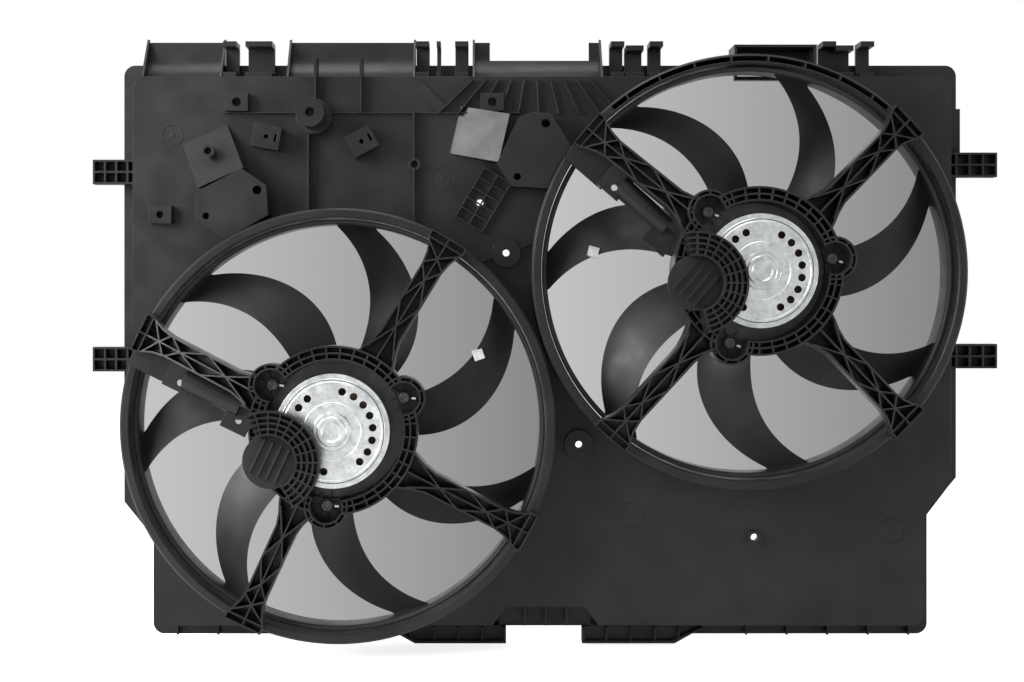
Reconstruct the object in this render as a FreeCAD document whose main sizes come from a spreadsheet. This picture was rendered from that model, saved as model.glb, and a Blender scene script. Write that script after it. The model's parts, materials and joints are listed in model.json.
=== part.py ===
"""Twin-fan radiator shroud, as a parametric document, in millimetres.

The frame: +X to the right seen from the engine side, +Z up, +Y towards the
radiator.  The origin is the centre of the rim that seats on the radiator.
Engine-side features have negative Y.  A fan unit is drawn once on its own
motor axis and then placed left and right.
"""
import FreeCAD, Part
import math
import os
import re
import Sketcher
from FreeCAD import Placement, Rotation, Vector

doc = FreeCAD.newDocument("radiator_fan_shroud")
sheet = doc.addObject("Spreadsheet::Sheet", "sizes")

SIZES = {
    "rim and plenum": {
        "rim_half_width": 413,
        "rim_top": 283,
        "rim_bottom": -281,
        "rim_thickness": 2.5,
        "rim_corner_radius": 11,
        "flange_side": 18,
        "flange_top": 17,
        "plenum_corner_radius": 12,
        "plenum_depth": 40.5,
        "wall": 2.5,
        "side_step": 29,
        "rim_shoulder_step": 4,
        "rim_shoulder_top": 240,
        "rim_shoulder_bottom": 190,
        "flange_lower": 15,
        "right_step_top": -126,
        "right_step_bottom": -160,
        "left_step_top": -150,
        "left_step_bottom": -186,
    },
    "fan places": {
        "fan_half_spacing": 193,
        "fan_left_z": -68,
        "fan_right_z": 76.5,
        "unit_turn_left": 15,
        "unit_turn_right": 0,
    },
    "ring": {
        "ring_inner_radius": 195.5,
        "ring_breadth": 9,
        "ring_depth": 39.5,
        "ring_wall": 2.2,
        "ring_lip_round": 4,
        "ring_rib_thickness": 1.8,
        "ring_rib_count": 36,
        "ring_open_start": 50,
        "ring_open_end": 130,
        "ring_bulge_margin": 0.5,
    },
    "fan": {
        "fan_tip_clearance": 3,
        "hoop_wall": 2.8,
        "hoop_front": -68,
        "hoop_back": -44,
        "hoop_lip": 2,
        "blade_count": 7,
        "blade_thickness": 2.6,
        "hub_radius": 71,
        "hub_wall": 2.8,
        "hub_front": -80,
        "hub_back": -36,
        "hub_corner_radius": 9,
        "hub_rib_count": 14,
        "hub_rib_thickness": 2,
        "hub_rib_depth": 9,
        "hub_boss_radius": 13,
        "hub_boss_length": 13,
        "blade_sweep": 27.5,
        "blade_root_chord": 51,
        "blade_middle_chord": 57,
        "blade_tip_chord": 40,
        "blade_root_pitch": 37,
        "blade_tip_pitch": 25,
        "blade_root_y": -59,
        "blade_tip_y": -56,
        "fan_turn_left": 109.6,
        "fan_turn_right": 101,
        "clip_turn_left": 6.74,
        "clip_turn_right": 152.4,
        "clip_radius": 146,
        "clip_length": 10,
        "clip_width": 10,
        "clip_thickness": 0.9,
        "clip_grip": 8.5,
        "clip_tilt": -13,
    },
    "spider": {
        "spider_front": -121,
        "spider_back": -101,
        "spider_web": 2,
        "spider_wall": 1.8,
        "spider_room": 13.5,
        "spider_cell": 6.5,
        "spider_breadth": 13.5,
        "spider_rib_count": 36,
        "ear_radius": 20,
        "ear_pocket_radius": 16,
        "ear_floor": 5,
        "screw_circle_radius": 70,
        "screw_first_angle": 9.5,
        "strut_angle_one": 44,
        "strut_angle_two": 139,
        "strut_angle_three": 229.5,
        "strut_angle_four": 316,
        "strut_half_width": 10.5,
        "strut_hub_half_width": 21,
        "strut_foot_half_width": 19,
        "strut_foot_depth": 12,
        "strut_root_run": 23,
        "strut_foot_run": 23.5,
        "strut_root_inset": 2.5,
        "strut_node_one_run": 33,
        "strut_node_two_run": 36.5,
        "strut_node_three_run": 13.5,
        "strut_node_reach": 14,
        "rib_thickness": 1.5,
        "bridge_x": -60,
        "bridge_z": -11,
        "bridge_inner_radius": 24,
        "bridge_outer_radius": 46,
        "bridge_rows": 4,
        "bridge_start": -78,
        "bridge_end": 102,
        "bridge_front": -146,
        "bridge_back": -136.5,
        "bridge_rib_count": 24,
        "guide_width": 20,
        "guide_start": 88,
        "guide_run": 49.5,
        "guide_offset": 21,
        "guide_axis_y": -93,
        "guide_plate_thickness": 2.2,
        "guide_hole_radius": 3,
        "socket_gap": 1.65,
        "socket_z": -6,
        "socket_length": 22,
        "socket_width": 7.5,
        "socket_wall": 1.5,
        "socket_rise": 4,
        "socket_depth": 12,
    },
    "edge fittings": {
        "tab_depth": 12,
        "tab_back": -6,
        "tab_wall": 2,
        "tab_width": 24,
        "tab_overhang_left": 27,
        "tab_overhang_right": 35,
        "tab_left_upper_z": 176,
        "tab_left_lower_z": -8,
        "tab_right_upper_z": 183,
        "tab_right_lower_z": -5,
        "scoop_rise": 22,
        "scoop_back": -4,
        "scoop_front": -34,
        "scoop_wall": 2.2,
        "scoop_one_left": -389,
        "scoop_one_right": -311,
        "scoop_two_left": -248,
        "scoop_two_right": -123,
        "scoop_three_left": -67,
        "scoop_three_right": 60,
        "scoop_step_rise": 4,
        "scoop_step_left_leg": 17,
        "scoop_step_right_leg": 12,
        "hook_one": -303.4,
        "hook_two": -275,
        "hook_three": -115.8,
        "hook_four": -100,
        "hook_five": -77.5,
        "hook_six": 74.2,
        "hook_seven": 91,
        "hook_eight": 111.9,
        "hook_nine": 280.3,
        "hook_ten": 295.3,
        "hook_eleven": 317.3,
        "hook_width": 13,
        "hook_middle_width": 17,
        "hook_clip_width": 4,
        "hook_back": -8,
        "hook_front": -30,
        "hook_wall": 4,
        "hook_lip": 5,
        "hook_foot_height": 6,
        "hook_rise": 19,
        "hook_middle_rise": 15,
        "cap_left": 187,
        "cap_right": 267,
        "cap_rise": 15,
        "foot_drop": 7.5,
        "foot_slant": 28,
        "foot_root": 8,
        "foot_left_start": -152,
        "foot_left_end": -34,
        "foot_right_start": 41,
        "foot_right_end": 160,
        "foot_depth": 12,
        "foot_cell_count": 5,
        "notch_top": -246,
        "notch_left": -34,
        "notch_right": 41,
        "notch_slant": 14,
        "notch_depth": 18,
        "notch_rib_pitch": 20.2,
        "rim_rib_depth": 12,
        "rim_rib_pitch": 40,
        "rim_rib_first_left": -358,
        "rim_rib_first_right": 203,
    },
    "panel fittings": {
        "fitting_rib_height": 4,
        "upright_rib_height": 9,
        "slant_width": 11,
        "slant_height": 1.5,
        "horn_width": 3,
        "sunburst_x": -7,
        "sunburst_z": 319,
        "sunburst_left": -101,
        "sunburst_right": 75,
        "sunburst_top": 262,
        "sunburst_bottom": 229,
        "sunburst_count": 10,
        "sunburst_height": 6,
        "plate_height": 25,
        "hollow_share": 0.84,
        "ramp_length": 48,
        "ramp_half_width": 23.5,
        "pad_height": 10,
        "pad_length": 22,
        "pad_width": 17,
        "box_height": 20,
        "box_wall": 2.2,
        "post_radius": 13.5,
        "post_height": 42,
        "post_collar_radius": 17,
        "post_collar_height": 12,
        "post_hole_radius": 4.3,
        "blind_hole_depth": 9,
        "disc_radius": 14,
        "disc_height": 5,
        "disc_hole_radius": 3.4,
        "nub_radius": 6,
        "strap_height": 6,
        "strap_width": 31,
        "strap_cells": 5,
    },
    "motor": {
        "can_radius": 50,
        "can_wall": 1.6,
        "can_rear": -125,
        "can_front": -60,
        "cover_lap": 1.6,
        "cover_shoulder": 3.5,
        "cover_rear": -130.5,
        "cover_rim_back": -127,
        "cover_thickness": 1.2,
        "cover_boss_radius": 17.7,
        "cover_boss_height": 3,
        "cover_boss_step_radius": 12.6,
        "cover_dimple_radius": 8.5,
        "vent_circle_radius": 36.8,
        "vent_hole_radius": 3.5,
        "vent_pitch": 17.6,
        "vent_first_angle": -62.5,
        "plate_inset": 0.5,
        "plate_thickness": 2.5,
        "plate_ear_radius": 11,
        "shaft_radius": 4,
        "shaft_clearance": 0.04,
        "shaft_front": -28,
        "shaft_rear": -131.4,
        "bearing_radius": 11,
        "bearing_length": 7,
        "magnet_thickness": 6.5,
        "magnet_arc": 78,
        "magnet_count": 4,
        "air_gap": 1,
        "core_front": -72,
        "core_rear": -102,
        "core_slots": 12,
        "commutator_radius": 11,
        "commutator_front": -106,
        "commutator_rear": -117,
        "brush_count": 4,
        "brush_width": 7,
        "brush_card_thickness": 2.5,
        "screw_head_radius": 5,
        "screw_head_height": 3.2,
        "screw_shank_radius": 2.4,
        "nut_across_flats": 16,
        "nut_height": 6,
    },
}


# Sizes that follow from the ones above.
DERIVED = {
    "ring_outer_radius": "ring_inner_radius + ring_breadth",
    "strut_waist_end": "ring_inner_radius - strut_foot_run",
    "strut_node_two": "ring_inner_radius - strut_node_two_run",
    "strut_node_three": "ring_inner_radius - strut_node_three_run",
    "guide_end": "ring_inner_radius - guide_run",
    "cover_rim_radius": "can_radius + cover_lap",
    "socket_x": "-(cover_rim_radius + socket_gap + socket_width / 2)",
    "cover_face_radius": "can_radius - cover_shoulder",
    "spider_inner_radius": "can_radius + spider_room",
    "spider_middle_radius": "spider_inner_radius + spider_cell",
    "spider_outer_radius": "spider_inner_radius + spider_breadth",
    "plate_radius": "spider_inner_radius - plate_inset",
    "strut_root_radius": "spider_inner_radius + strut_root_inset",
    "strut_waist_start": "spider_outer_radius + strut_root_run",
    "strut_node_one": "spider_outer_radius + strut_node_one_run",
    "plenum_half_width": "rim_half_width - flange_side",
    "rim_lower_half_width": "rim_half_width - side_step",
    "plenum_lower_half_width": "rim_lower_half_width - flange_lower",
    "plenum_top": "rim_top - flange_top",
    "plenum_bottom": "rim_bottom + flange_top",
    "tab_reach": "rim_half_width + tab_overhang_left",
    "tab_reach_right": "rim_half_width + tab_overhang_right",
    "scoop_top": "rim_top + scoop_rise",
    "hook_top": "rim_top + hook_rise",
    "hook_middle_top": "rim_top + hook_middle_rise",
    "cap_top": "rim_top + cap_rise",
    "scoop_three_step": "rim_top + scoop_step_rise",
    "foot_bottom": "rim_bottom - foot_drop",
    "horn_top": "rim_top",
}

LINES = {
    "ledge": ((-307, 230.5), (-22, 230.5)),
    "left_upright": ((-224.5, 231), (-224.5, 134)),
    "right_upright": ((-123.2, 231), (-123.2, 124)),
    "left_gusset": ((-217.7, 231), (-217.7, 265)),
    "right_gusset": ((-174, 231), (-174, 265)),
    "slanted_strip": ((-120.7, 259.3), (-94.9, 232.8)),
    "disc_rib": ((-34.7, 95.5), (-7.2, 105.7)),
    "disc_rib_low": ((-34.7, 95.5), (-58.4, 87.5)),
    "ramp_left": ((-325.2, 209.8), (-305.5, 166)),
    "ramp_right": ((-83.5, 214.5), (-34, 203)),
    "strap": ((-42.5, 170), (-70.5, 123)),
}

OUTLINES = {
    "left_plate": ((-329, 152.4), (-286, 175), (-262.4, 159), (-260.5, 130.6), (-302.2, 107), (-329, 126.8)),
    "right_plate": (
        (-23, 223.4), (-9.7, 228), (7.3, 227), (27, 195), (4.5, 156), (-29.6, 158), (-43.8, 179.8),
    ),
}

POINTS = {
    "tall_post": (-219, 226),
    "upper_left_pad": (-293, 240),
    "upper_middle_pad": (-48, 240),
    "side_pad": (-366.5, 132),
    "left_box": (-263.2, 205.6),
    "middle_box": (-172.5, 201),
    "ramp_nub": (-317.4, 191.4),
    "strap_boss": (-59.9, 143.9),
    "upper_disc": (-34.7, 95.5),
    "lower_disc": (35.2, -88.8),
    "low_boss": (204, -178),
    "left_plate_hole_one": (-319.4, 129.7),
    "left_plate_hole_two": (-270.9, 154.3),
    "right_plate_hole_one": (2.6, 217.7),
    "right_plate_hole_two": (-24.4, 167),
    "upright_boss": (-122.8, 180.3),
}


def spot(name, index=0):
    """The sheet's names for a stated point of the panel plane."""
    return f"{name}_x{index}", f"{name}_z{index}"


def stated_points():
    """Every line's, outline's and fitting's points, as cells of the sheet."""
    cells = {}
    singles = {name: [place] for name, place in POINTS.items()}
    for name, corners in {**LINES, **OUTLINES, **singles}.items():
        for index, place in enumerate(corners):
            cells.update(zip(spot(name, index), place))
    return cells


SIZES["panel points"] = stated_points()


def fill_sheet():
    row = 1
    for group, cells in SIZES.items():
        sheet.set(f"A{row}", group)
        row += 1
        for alias, number in cells.items():
            sheet.set(f"A{row}", alias.replace("_", " "))
            sheet.set(f"B{row}", str(number))
            sheet.setAlias(f"B{row}", alias)
            row += 1
    doc.recompute()


fill_sheet()
ALIASES = {alias for cells in SIZES.values() for alias in cells}
ALONG_Y = Rotation(Vector(1, 0, 0), -90)
FACING_ENGINE = Rotation(Vector(1, 0, 0), 90)


def expanded(text):
    """The expression text with each derived size written out in driving ones."""
    def written_out(found):
        name = found[0]
        return f"({expanded(DERIVED[name])})" if name in DERIVED else name

    return re.sub(r"[a-z]\w*", written_out, str(text))


def bound(text):
    """The expression text with each alias pointed at the sheet."""
    text = expanded(text)
    return re.sub(r"[a-z]\w*", lambda m: f"sizes.{m[0]}" if m[0] in ALIASES else m[0], text)


def value(text):
    """The number that an expression gives now."""
    return float(sheet.evalExpression(expanded(text)))


def bind(thing, **expressions):
    for path, text in expressions.items():
        thing.setExpression(path.replace("__", "."), bound(text))


def block(name, x, y, z):
    """A box between two values on each axis."""
    box = doc.addObject("Part::Box", name)
    bind(box, Length=f"({x[1]}) - ({x[0]})", Width=f"({y[1]}) - ({y[0]})", Height=f"({z[1]}) - ({z[0]})")
    bind(box, Placement__Base__x=x[0], Placement__Base__y=y[0], Placement__Base__z=z[0])
    return box


def bar(name, centre, length, width, angle, y):
    """A box whose length is turned by angle in the plane of the panel, about its centre."""
    box = doc.addObject("Part::Box", name)
    box.Placement = Placement(Vector(), Rotation(Vector(0, -1, 0), 1))
    bind(box, Length=length, Width=f"({y[1]}) - ({y[0]})", Height=width, Placement__Rotation__Angle=angle)
    along = f"(({length}) / 2)"
    across = f"(({width}) / 2)"
    bind(box, Placement__Base__x=f"({centre[0]}) - {along} * cos({angle}) + {across} * sin({angle})")
    bind(box, Placement__Base__z=f"({centre[1]}) - {along} * sin({angle}) - {across} * cos({angle})")
    bind(box, Placement__Base__y=y[0])
    return box


def strip(name, start, end, width, y):
    """A box of the given width that runs from one point of the panel plane to another."""
    run = f"(({end[0]}) - ({start[0]}))"
    rise = f"(({end[1]}) - ({start[1]}))"
    centre = (f"(({end[0]}) + ({start[0]})) / 2", f"(({end[1]}) + ({start[1]})) / 2")
    angle = f"atan2({rise}; {run})"
    return bar(name, centre, f"sqrt({run} ^ 2 + {rise} ^ 2)", width, angle, y)


def post(name, centre, radius, y):
    """A cylinder along Y."""
    cylinder = doc.addObject("Part::Cylinder", name)
    cylinder.Placement = Placement(Vector(), ALONG_Y)
    bind(cylinder, Radius=radius, Height=f"({y[1]}) - ({y[0]})")
    bind(cylinder, Placement__Base__x=centre[0], Placement__Base__y=y[0], Placement__Base__z=centre[1])
    return cylinder


def rod(name, x, radius, y, z):
    """A cylinder along X."""
    cylinder = doc.addObject("Part::Cylinder", name)
    cylinder.Placement = Placement(Vector(), Rotation(Vector(0, 1, 0), 90))
    bind(cylinder, Radius=radius, Height=f"({x[1]}) - ({x[0]})")
    bind(cylinder, Placement__Base__x=x[0], Placement__Base__y=y, Placement__Base__z=z)
    return cylinder


def draw(sketch, corners):
    """Draw a closed outline with every corner held by expressions from the sketch's origin."""
    points = [Vector(value(across), value(up), 0) for across, up in corners]
    for start, end in zip(points, points[1:] + points[:1]):
        sketch.addGeometry(Part.LineSegment(start, end), False)
    for index, (across, up) in enumerate(corners):
        following = (index + 1) % len(corners)
        sketch.addConstraint(Sketcher.Constraint("Coincident", index, 2, following, 1))
        for direction, text, number in (("DistanceX", across, points[index].x), ("DistanceY", up, points[index].y)):
            place = sketch.addConstraint(Sketcher.Constraint(direction, -1, 1, index, 1, number))
            sketch.setExpression(f"Constraints[{place}]", bound(text))


def prism(name, corners, y):
    """An outline in the plane of the panel, given as x and z, made solid between two values of Y."""
    sketch = doc.addObject("Sketcher::SketchObject", f"{name}_outline")
    sketch.Placement = Placement(Vector(), FACING_ENGINE)
    bind(sketch, Placement__Base__y=y[1])
    draw(sketch, corners)
    solid = doc.addObject("Part::Extrusion", name)
    solid.Base = sketch
    solid.DirMode = "Custom"
    solid.Dir = Vector(0, -1, 0)
    solid.Solid = True
    bind(solid, LengthFwd=f"({y[1]}) - ({y[0]})")
    return solid


def side_prism(name, corners, half_width):
    """An outline in x and y, made solid evenly to both sides along Z."""
    sketch = doc.addObject("Sketcher::SketchObject", f"{name}_outline")
    draw(sketch, corners)
    solid = doc.addObject("Part::Extrusion", name)
    solid.Base = sketch
    solid.DirMode = "Custom"
    solid.Dir = Vector(0, 0, 1)
    solid.Solid = True
    solid.Symmetric = True
    bind(solid, LengthFwd=f"2 * ({half_width})")
    return solid


def turned(name, profile):
    """A body turned about the Y axis from a profile given as radius and y."""
    body = doc.addObject("PartDesign::Body", name)
    sketch = body.newObject("Sketcher::SketchObject", f"{name}_profile")
    plane = [feature for feature in body.Origin.OriginFeatures if feature.Role == "XY_Plane"]
    sketch.AttachmentSupport = [(plane[0], "")]
    sketch.MapMode = "FlatFace"
    draw(sketch, profile)
    revolution = body.newObject("PartDesign::Revolution", f"{name}_turn")
    revolution.Profile = sketch
    revolution.ReferenceAxis = (sketch, ["V_Axis"])
    revolution.Angle = 360
    return body


def fuse(name, pieces, refine=True):
    """One solid from many; refining joins the flat faces that line up."""
    whole = doc.addObject("Part::MultiFuse", name)
    whole.Shapes = pieces
    whole.Refine = refine
    return whole


def cut(name, base, tool):
    whole = doc.addObject("Part::Cut", name)
    whole.Base = base
    whole.Tool = tool
    return whole


def common(name, first, second):
    whole = doc.addObject("Part::MultiCommon", name)
    whole.Shapes = [first, second]
    return whole


def around(name, piece, angles):
    """Copies of a piece turned about the Y axis, anticlockwise to the engine side, as one compound."""
    doc.recompute()
    copies = []
    for angle in angles:
        copy = piece.Shape.copy()
        copy.rotate(Vector(), Vector(0, -1, 0), angle)
        copies.append(copy)
    group = doc.addObject("Part::Feature", name)
    group.Shape = Part.makeCompound(copies)
    return group


def even(count, first=0):
    count = int(value(count))
    return [value(first) + 360 * index / count for index in range(count)]


PARTS = []


def keep(label, thing):
    thing.Label = label
    PARTS.append(thing)
    return thing


SIDES = {"left": ("-fan_half_spacing", "fan_left_z"), "right": ("fan_half_spacing", "fan_right_z")}


def keep_pair(label, piece, turn="unit_turn"):
    """Place a piece of the fan unit on both motor axes."""
    doc.recompute()
    for side, (x, z) in SIDES.items():
        keep_placed(f"{label}_{side}", piece, x, z, f"{turn}_{side}")


def keep_placed(label, piece, x, z, turn):
    """Place one piece of the fan unit on a motor axis."""
    placed = doc.addObject("Part::Feature", label)
    placed.Shape = piece.Shape.copy()
    placed.Placement = Placement(Vector(), Rotation(Vector(0, -1, 0), 1))
    bind(placed, Placement__Base__x=x, Placement__Base__z=z, Placement__Rotation__Angle=turn)
    keep(label, placed)


# ---------------------------------------------------------------- fan


def blade_section(radius, mid_angle, chord, pitch, y, thickness):
    """A cambered section on the plane that faces the axis at this radius."""
    turn = math.radians(mid_angle)
    outwards = Vector(math.cos(turn), 0, math.sin(turn))
    sideways = Vector(-math.sin(turn), 0, math.cos(turn))
    lean = math.radians(pitch)
    upper, lower = [], []
    for step in range(7):
        share = step / 6 - 0.5
        bulge = 0.25 - share * share
        camber = 0.30 * chord * bulge
        half = 2 * thickness * bulge * 0.8 + 0.35
        for side, sign in ((upper, 1), (lower, -1)):
            along = share * chord
            offset = camber + sign * half
            tangent = along * math.cos(lean) + offset * math.sin(lean)
            depth = offset * math.cos(lean) - along * math.sin(lean)
            side.append(outwards * radius + sideways * tangent + Vector(0, y + depth, 0))
    top, bottom = Part.BSplineCurve(), Part.BSplineCurve()
    top.interpolate(upper)
    bottom.interpolate(lower)
    edges = [
        top.toShape(),
        Part.makeLine(upper[-1], lower[-1]),
        bottom.toShape(),
        Part.makeLine(lower[0], upper[0]),
    ]
    return Part.Wire(Part.__sortEdges__(edges))


def blade_form(share):
    """Chord, pitch, middle y, thickness and sweep angle at a share of the blade's span."""
    climb = max(share, 0)
    root, tip = value("blade_root_chord"), value("blade_tip_chord")
    belly = 4 * climb * (1 - climb) * (value("blade_middle_chord") - (root + tip) / 2)
    chord = root + (tip - root) * climb + belly
    pitch = value("blade_root_pitch") + (value("blade_tip_pitch") - value("blade_root_pitch")) * climb
    y = value("blade_root_y") + (value("blade_tip_y") - value("blade_root_y")) * climb
    thickness = value("blade_thickness") * (1 - 0.35 * climb)
    return chord, pitch, y, thickness, value("blade_sweep") * climb ** 1.75


def blade():
    """One swept blade between the hub and the hoop, its root centred on +X."""
    hub = value("hub_radius")
    tip = value("ring_inner_radius - fan_tip_clearance - hoop_wall")
    sections = []
    for share in (-0.08, 0.12, 0.34, 0.56, 0.78, 1.03):
        chord, pitch, y, thickness, angle = blade_form(share)
        sections.append(blade_section(hub + share * (tip - hub), angle, chord, pitch, y, thickness))
    loft = Part.makeLoft(sections, True, False)
    reach = value("hub_back - hub_front")
    front = Vector(0, value("hub_front"), 0)
    outer = Part.makeCylinder(tip + value("hoop_wall") / 2, reach, front, Vector(0, 1, 0))
    inner = Part.makeCylinder(hub - value("hub_wall") / 2, reach, front, Vector(0, 1, 0))
    trimmed = doc.addObject("Part::Feature", "blade")
    trimmed.Shape = loft.common(outer.cut(inner))
    return trimmed


def fan(blade_solid):
    """The moulded fan: a ribbed hub cup, swept blades and the hoop that joins their tips."""
    inner = "(hub_radius - hub_wall)"
    hub = turned("fan_hub", [
        ("shaft_radius + shaft_clearance", "hub_back"),
        ("hub_radius - hub_corner_radius", "hub_back"),
        ("hub_radius - hub_corner_radius * 0.3", "hub_back - hub_corner_radius * 0.3"),
        ("hub_radius", "hub_back - hub_corner_radius"),
        ("hub_radius", "hub_front"),
        (inner, "hub_front"),
        (inner, "hub_back - hub_corner_radius"),
        ("hub_radius - hub_corner_radius", "hub_back - hub_wall"),
        ("hub_boss_radius", "hub_back - hub_wall"),
        ("hub_boss_radius", "hub_back - hub_boss_length"),
        ("shaft_radius + shaft_clearance", "hub_back - hub_boss_length"),
    ])
    rib = block(
        "hub_rib",
        ("hub_boss_radius - 1", f"{inner} - 0.2 * hub_wall"),
        ("hub_back - hub_wall - hub_rib_depth", "hub_back - hub_wall / 2"),
        ("-hub_rib_thickness / 2", "hub_rib_thickness / 2"),
    )
    reach = "(ring_inner_radius - fan_tip_clearance)"
    hoop = turned("fan_hoop", [
        (f"{reach} - hoop_wall", "hoop_back"),
        (reach, "hoop_back"),
        (reach, "hoop_front + 3 * hoop_lip"),
        (f"{reach} + hoop_lip", "hoop_front + 2 * hoop_lip"),
        (f"{reach} + hoop_lip", "hoop_front"),
        (f"{reach} - hoop_wall + hoop_lip", "hoop_front"),
        (f"{reach} - hoop_wall", "hoop_front + hoop_lip"),
    ])
    blades = around("fan_blades", blade_solid, even("blade_count"))
    ribs = around("hub_ribs", rib, even("hub_rib_count"))
    return fuse("fan_moulding", [hub, ribs, blades, hoop], refine=False)


def balance_clip(blade_solid):
    """A folded steel clip pushed over a blade's trailing edge, shaped to the blade it grips."""
    tip = value("ring_inner_radius - fan_tip_clearance - hoop_wall")
    share = value("clip_radius - hub_radius") / (tip - value("hub_radius"))
    chord, pitch, y, _, angle = blade_form(share)
    lean = math.radians(pitch)
    reach = value("clip_radius")
    length, width = value("clip_length"), value("clip_width")
    height = value("blade_thickness + 2 * clip_thickness")
    outer = Part.makeBox(width, height, length, Vector(-value("clip_grip"), -height / 2, -length / 2))
    outer.rotate(Vector(), Vector(0, 0, 1), -pitch - value("clip_tilt"))
    outer.translate(Vector(chord / 2 * math.cos(lean), y - chord / 2 * math.sin(lean), 0))
    outer.rotate(Vector(), Vector(0, 1, 0), -90)
    outer.translate(Vector(reach, 0, 0))
    outer.rotate(Vector(), Vector(0, -1, 0), angle)
    clip = doc.addObject("Part::Feature", "balance_clip")
    clip.Shape = outer.cut(blade_solid.Shape)
    return clip


def shaft():
    return turned("motor_shaft_body", [
        ("0", "shaft_rear"),
        ("shaft_radius", "shaft_rear"),
        ("shaft_radius", "shaft_front"),
        ("0", "shaft_front"),
    ])


def fan_nut():
    corners = [
        (f"nut_across_flats / sqrt(3) * cos({60 * step})", f"nut_across_flats / sqrt(3) * sin({60 * step})")
        for step in range(6)
    ]
    blank = prism("fan_nut_blank", corners, ("hub_back", "hub_back + nut_height"))
    reach = ("hub_back - 1", "hub_back + nut_height + 1")
    bore = post("fan_nut_bore", ("0", "0"), "shaft_radius + shaft_clearance", reach)
    return cut("fan_nut_body", blank, bore)


# ---------------------------------------------------------------- motor


def motor_can():
    """The drawn steel can, closed towards the fan with a nose for the front bearing."""
    bore = "(bearing_radius + shaft_clearance)"
    nose = f"({bore} + can_wall)"
    return turned("motor_can_body", [
        ("can_radius", "can_rear"),
        ("can_radius", "can_front"),
        (nose, "can_front"),
        (nose, "can_front + bearing_length + can_wall"),
        ("shaft_radius * 1.5", "can_front + bearing_length + can_wall"),
        ("shaft_radius * 1.5", "can_front + bearing_length"),
        (bore, "can_front + bearing_length"),
        (bore, "can_front - can_wall"),
        ("can_radius - can_wall", "can_front - can_wall"),
        ("can_radius - can_wall", "can_rear"),
    ])


def motor_cover():
    """The vented end cover crimped over the can, with a stepped boss for the rear bearing."""
    bore = "(bearing_radius + shaft_clearance)"
    pocket = "(cover_rear - cover_boss_height + cover_thickness)"
    cover = turned("motor_cover_body", [
        ("0", "cover_rear - cover_boss_height"),
        ("cover_dimple_radius", "cover_rear - cover_boss_height"),
        ("cover_dimple_radius + 1", "cover_rear - cover_boss_height - 1"),
        ("cover_boss_step_radius", "cover_rear - cover_boss_height - 1"),
        ("cover_boss_step_radius + 1", "cover_rear - cover_boss_height + 0.4"),
        ("cover_boss_radius - 1", "cover_rear - cover_boss_height + 0.4"),
        ("cover_boss_radius", "cover_rear"),
        ("cover_face_radius", "cover_rear"),
        ("cover_face_radius + 1", "cover_rear + 1"),
        ("cover_face_radius + 1", "cover_rim_back - cover_thickness"),
        ("cover_rim_radius", "cover_rim_back - cover_thickness"),
        ("cover_rim_radius", "can_rear + cover_thickness * 4"),
        ("can_radius + shaft_clearance", "can_rear + cover_thickness * 4"),
        ("can_radius + shaft_clearance", "can_rear"),
        ("cover_face_radius - cover_thickness", "can_rear"),
        ("cover_face_radius - cover_thickness", "cover_rear + cover_thickness"),
        (f"{bore} + cover_thickness", "cover_rear + cover_thickness"),
        (f"{bore} + cover_thickness", f"{pocket} + bearing_length"),
        (bore, f"{pocket} + bearing_length"),
        (bore, pocket),
        ("0", pocket),
    ])
    hole = post(
        "vent_hole",
        ("vent_circle_radius", "0"),
        "vent_hole_radius",
        ("cover_rear - 2", "cover_rear + 2 * cover_thickness"),
    )
    first = value("vent_first_angle")
    pitch = value("vent_pitch")
    row = [first + pitch * step for step in range(8)]
    row += [first + pitch * step - 1.5 for step in (-3, 10, 11)]
    return cut("motor_cover_vented", cover, around("vent_holes", hole, row))


def screw_angles():
    return even("3", "screw_first_angle")


def motor_plate():
    """The three-eared plate that carries the can on the spider."""
    y = ("spider_back", "spider_back + plate_thickness")
    disc = post("plate_disc", ("0", "0"), "plate_radius", y)
    ear = post("plate_ear", ("screw_circle_radius", "0"), "plate_ear_radius", y)
    across = ("-plate_ear_radius", "plate_ear_radius")
    web = block("plate_ear_web", ("can_radius + 5", "screw_circle_radius"), y, across)
    ears = around("plate_ears", fuse("plate_ear_whole", [ear, web]), screw_angles())
    plate = fuse("plate_blank", [disc, ears])
    reach = ("spider_back - 1", "spider_back + plate_thickness + 1")
    bore = post("plate_bore", ("0", "0"), "can_radius + shaft_clearance", reach)
    hole = post("plate_hole", ("screw_circle_radius", "0"), "screw_shank_radius + shaft_clearance", reach)
    holes = around("plate_holes", hole, screw_angles())
    return cut("plate_drilled", plate, fuse("plate_cuts", [bore, holes]))


def motor_screws():
    """Three screws through the spider's ears into the plate."""
    head = post(
        "screw_head",
        ("screw_circle_radius", "0"),
        "screw_head_radius",
        ("spider_back - ear_floor - screw_head_height", "spider_back - ear_floor"),
    )
    shank = post(
        "screw_shank",
        ("screw_circle_radius", "0"),
        "screw_shank_radius",
        ("spider_back - ear_floor - screw_head_height / 2", "spider_back + 2 * plate_thickness"),
    )
    return around("screws", fuse("screw", [head, shank]), screw_angles())


def magnets():
    outer = "(can_radius - can_wall - shaft_clearance)"
    y = ("core_rear - 2", "core_front + 2")
    tube = cut(
        "magnet_tube",
        post("magnet_outer", ("0", "0"), outer, y),
        post("magnet_inner", ("0", "0"), f"{outer} - magnet_thickness", ("core_rear - 3", "core_front + 3")),
    )
    reach = "can_radius * 2"
    wedge = prism(
        "magnet_wedge",
        [
            ("0", "0"),
            (f"{reach} * cos(magnet_arc / 2)", f"-{reach} * sin(magnet_arc / 2)"),
            (f"{reach} * cos(magnet_arc / 2)", f"{reach} * sin(magnet_arc / 2)"),
        ],
        y,
    )
    return around("magnet_ring", common("magnet", tube, wedge), even("magnet_count", 45))


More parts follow.
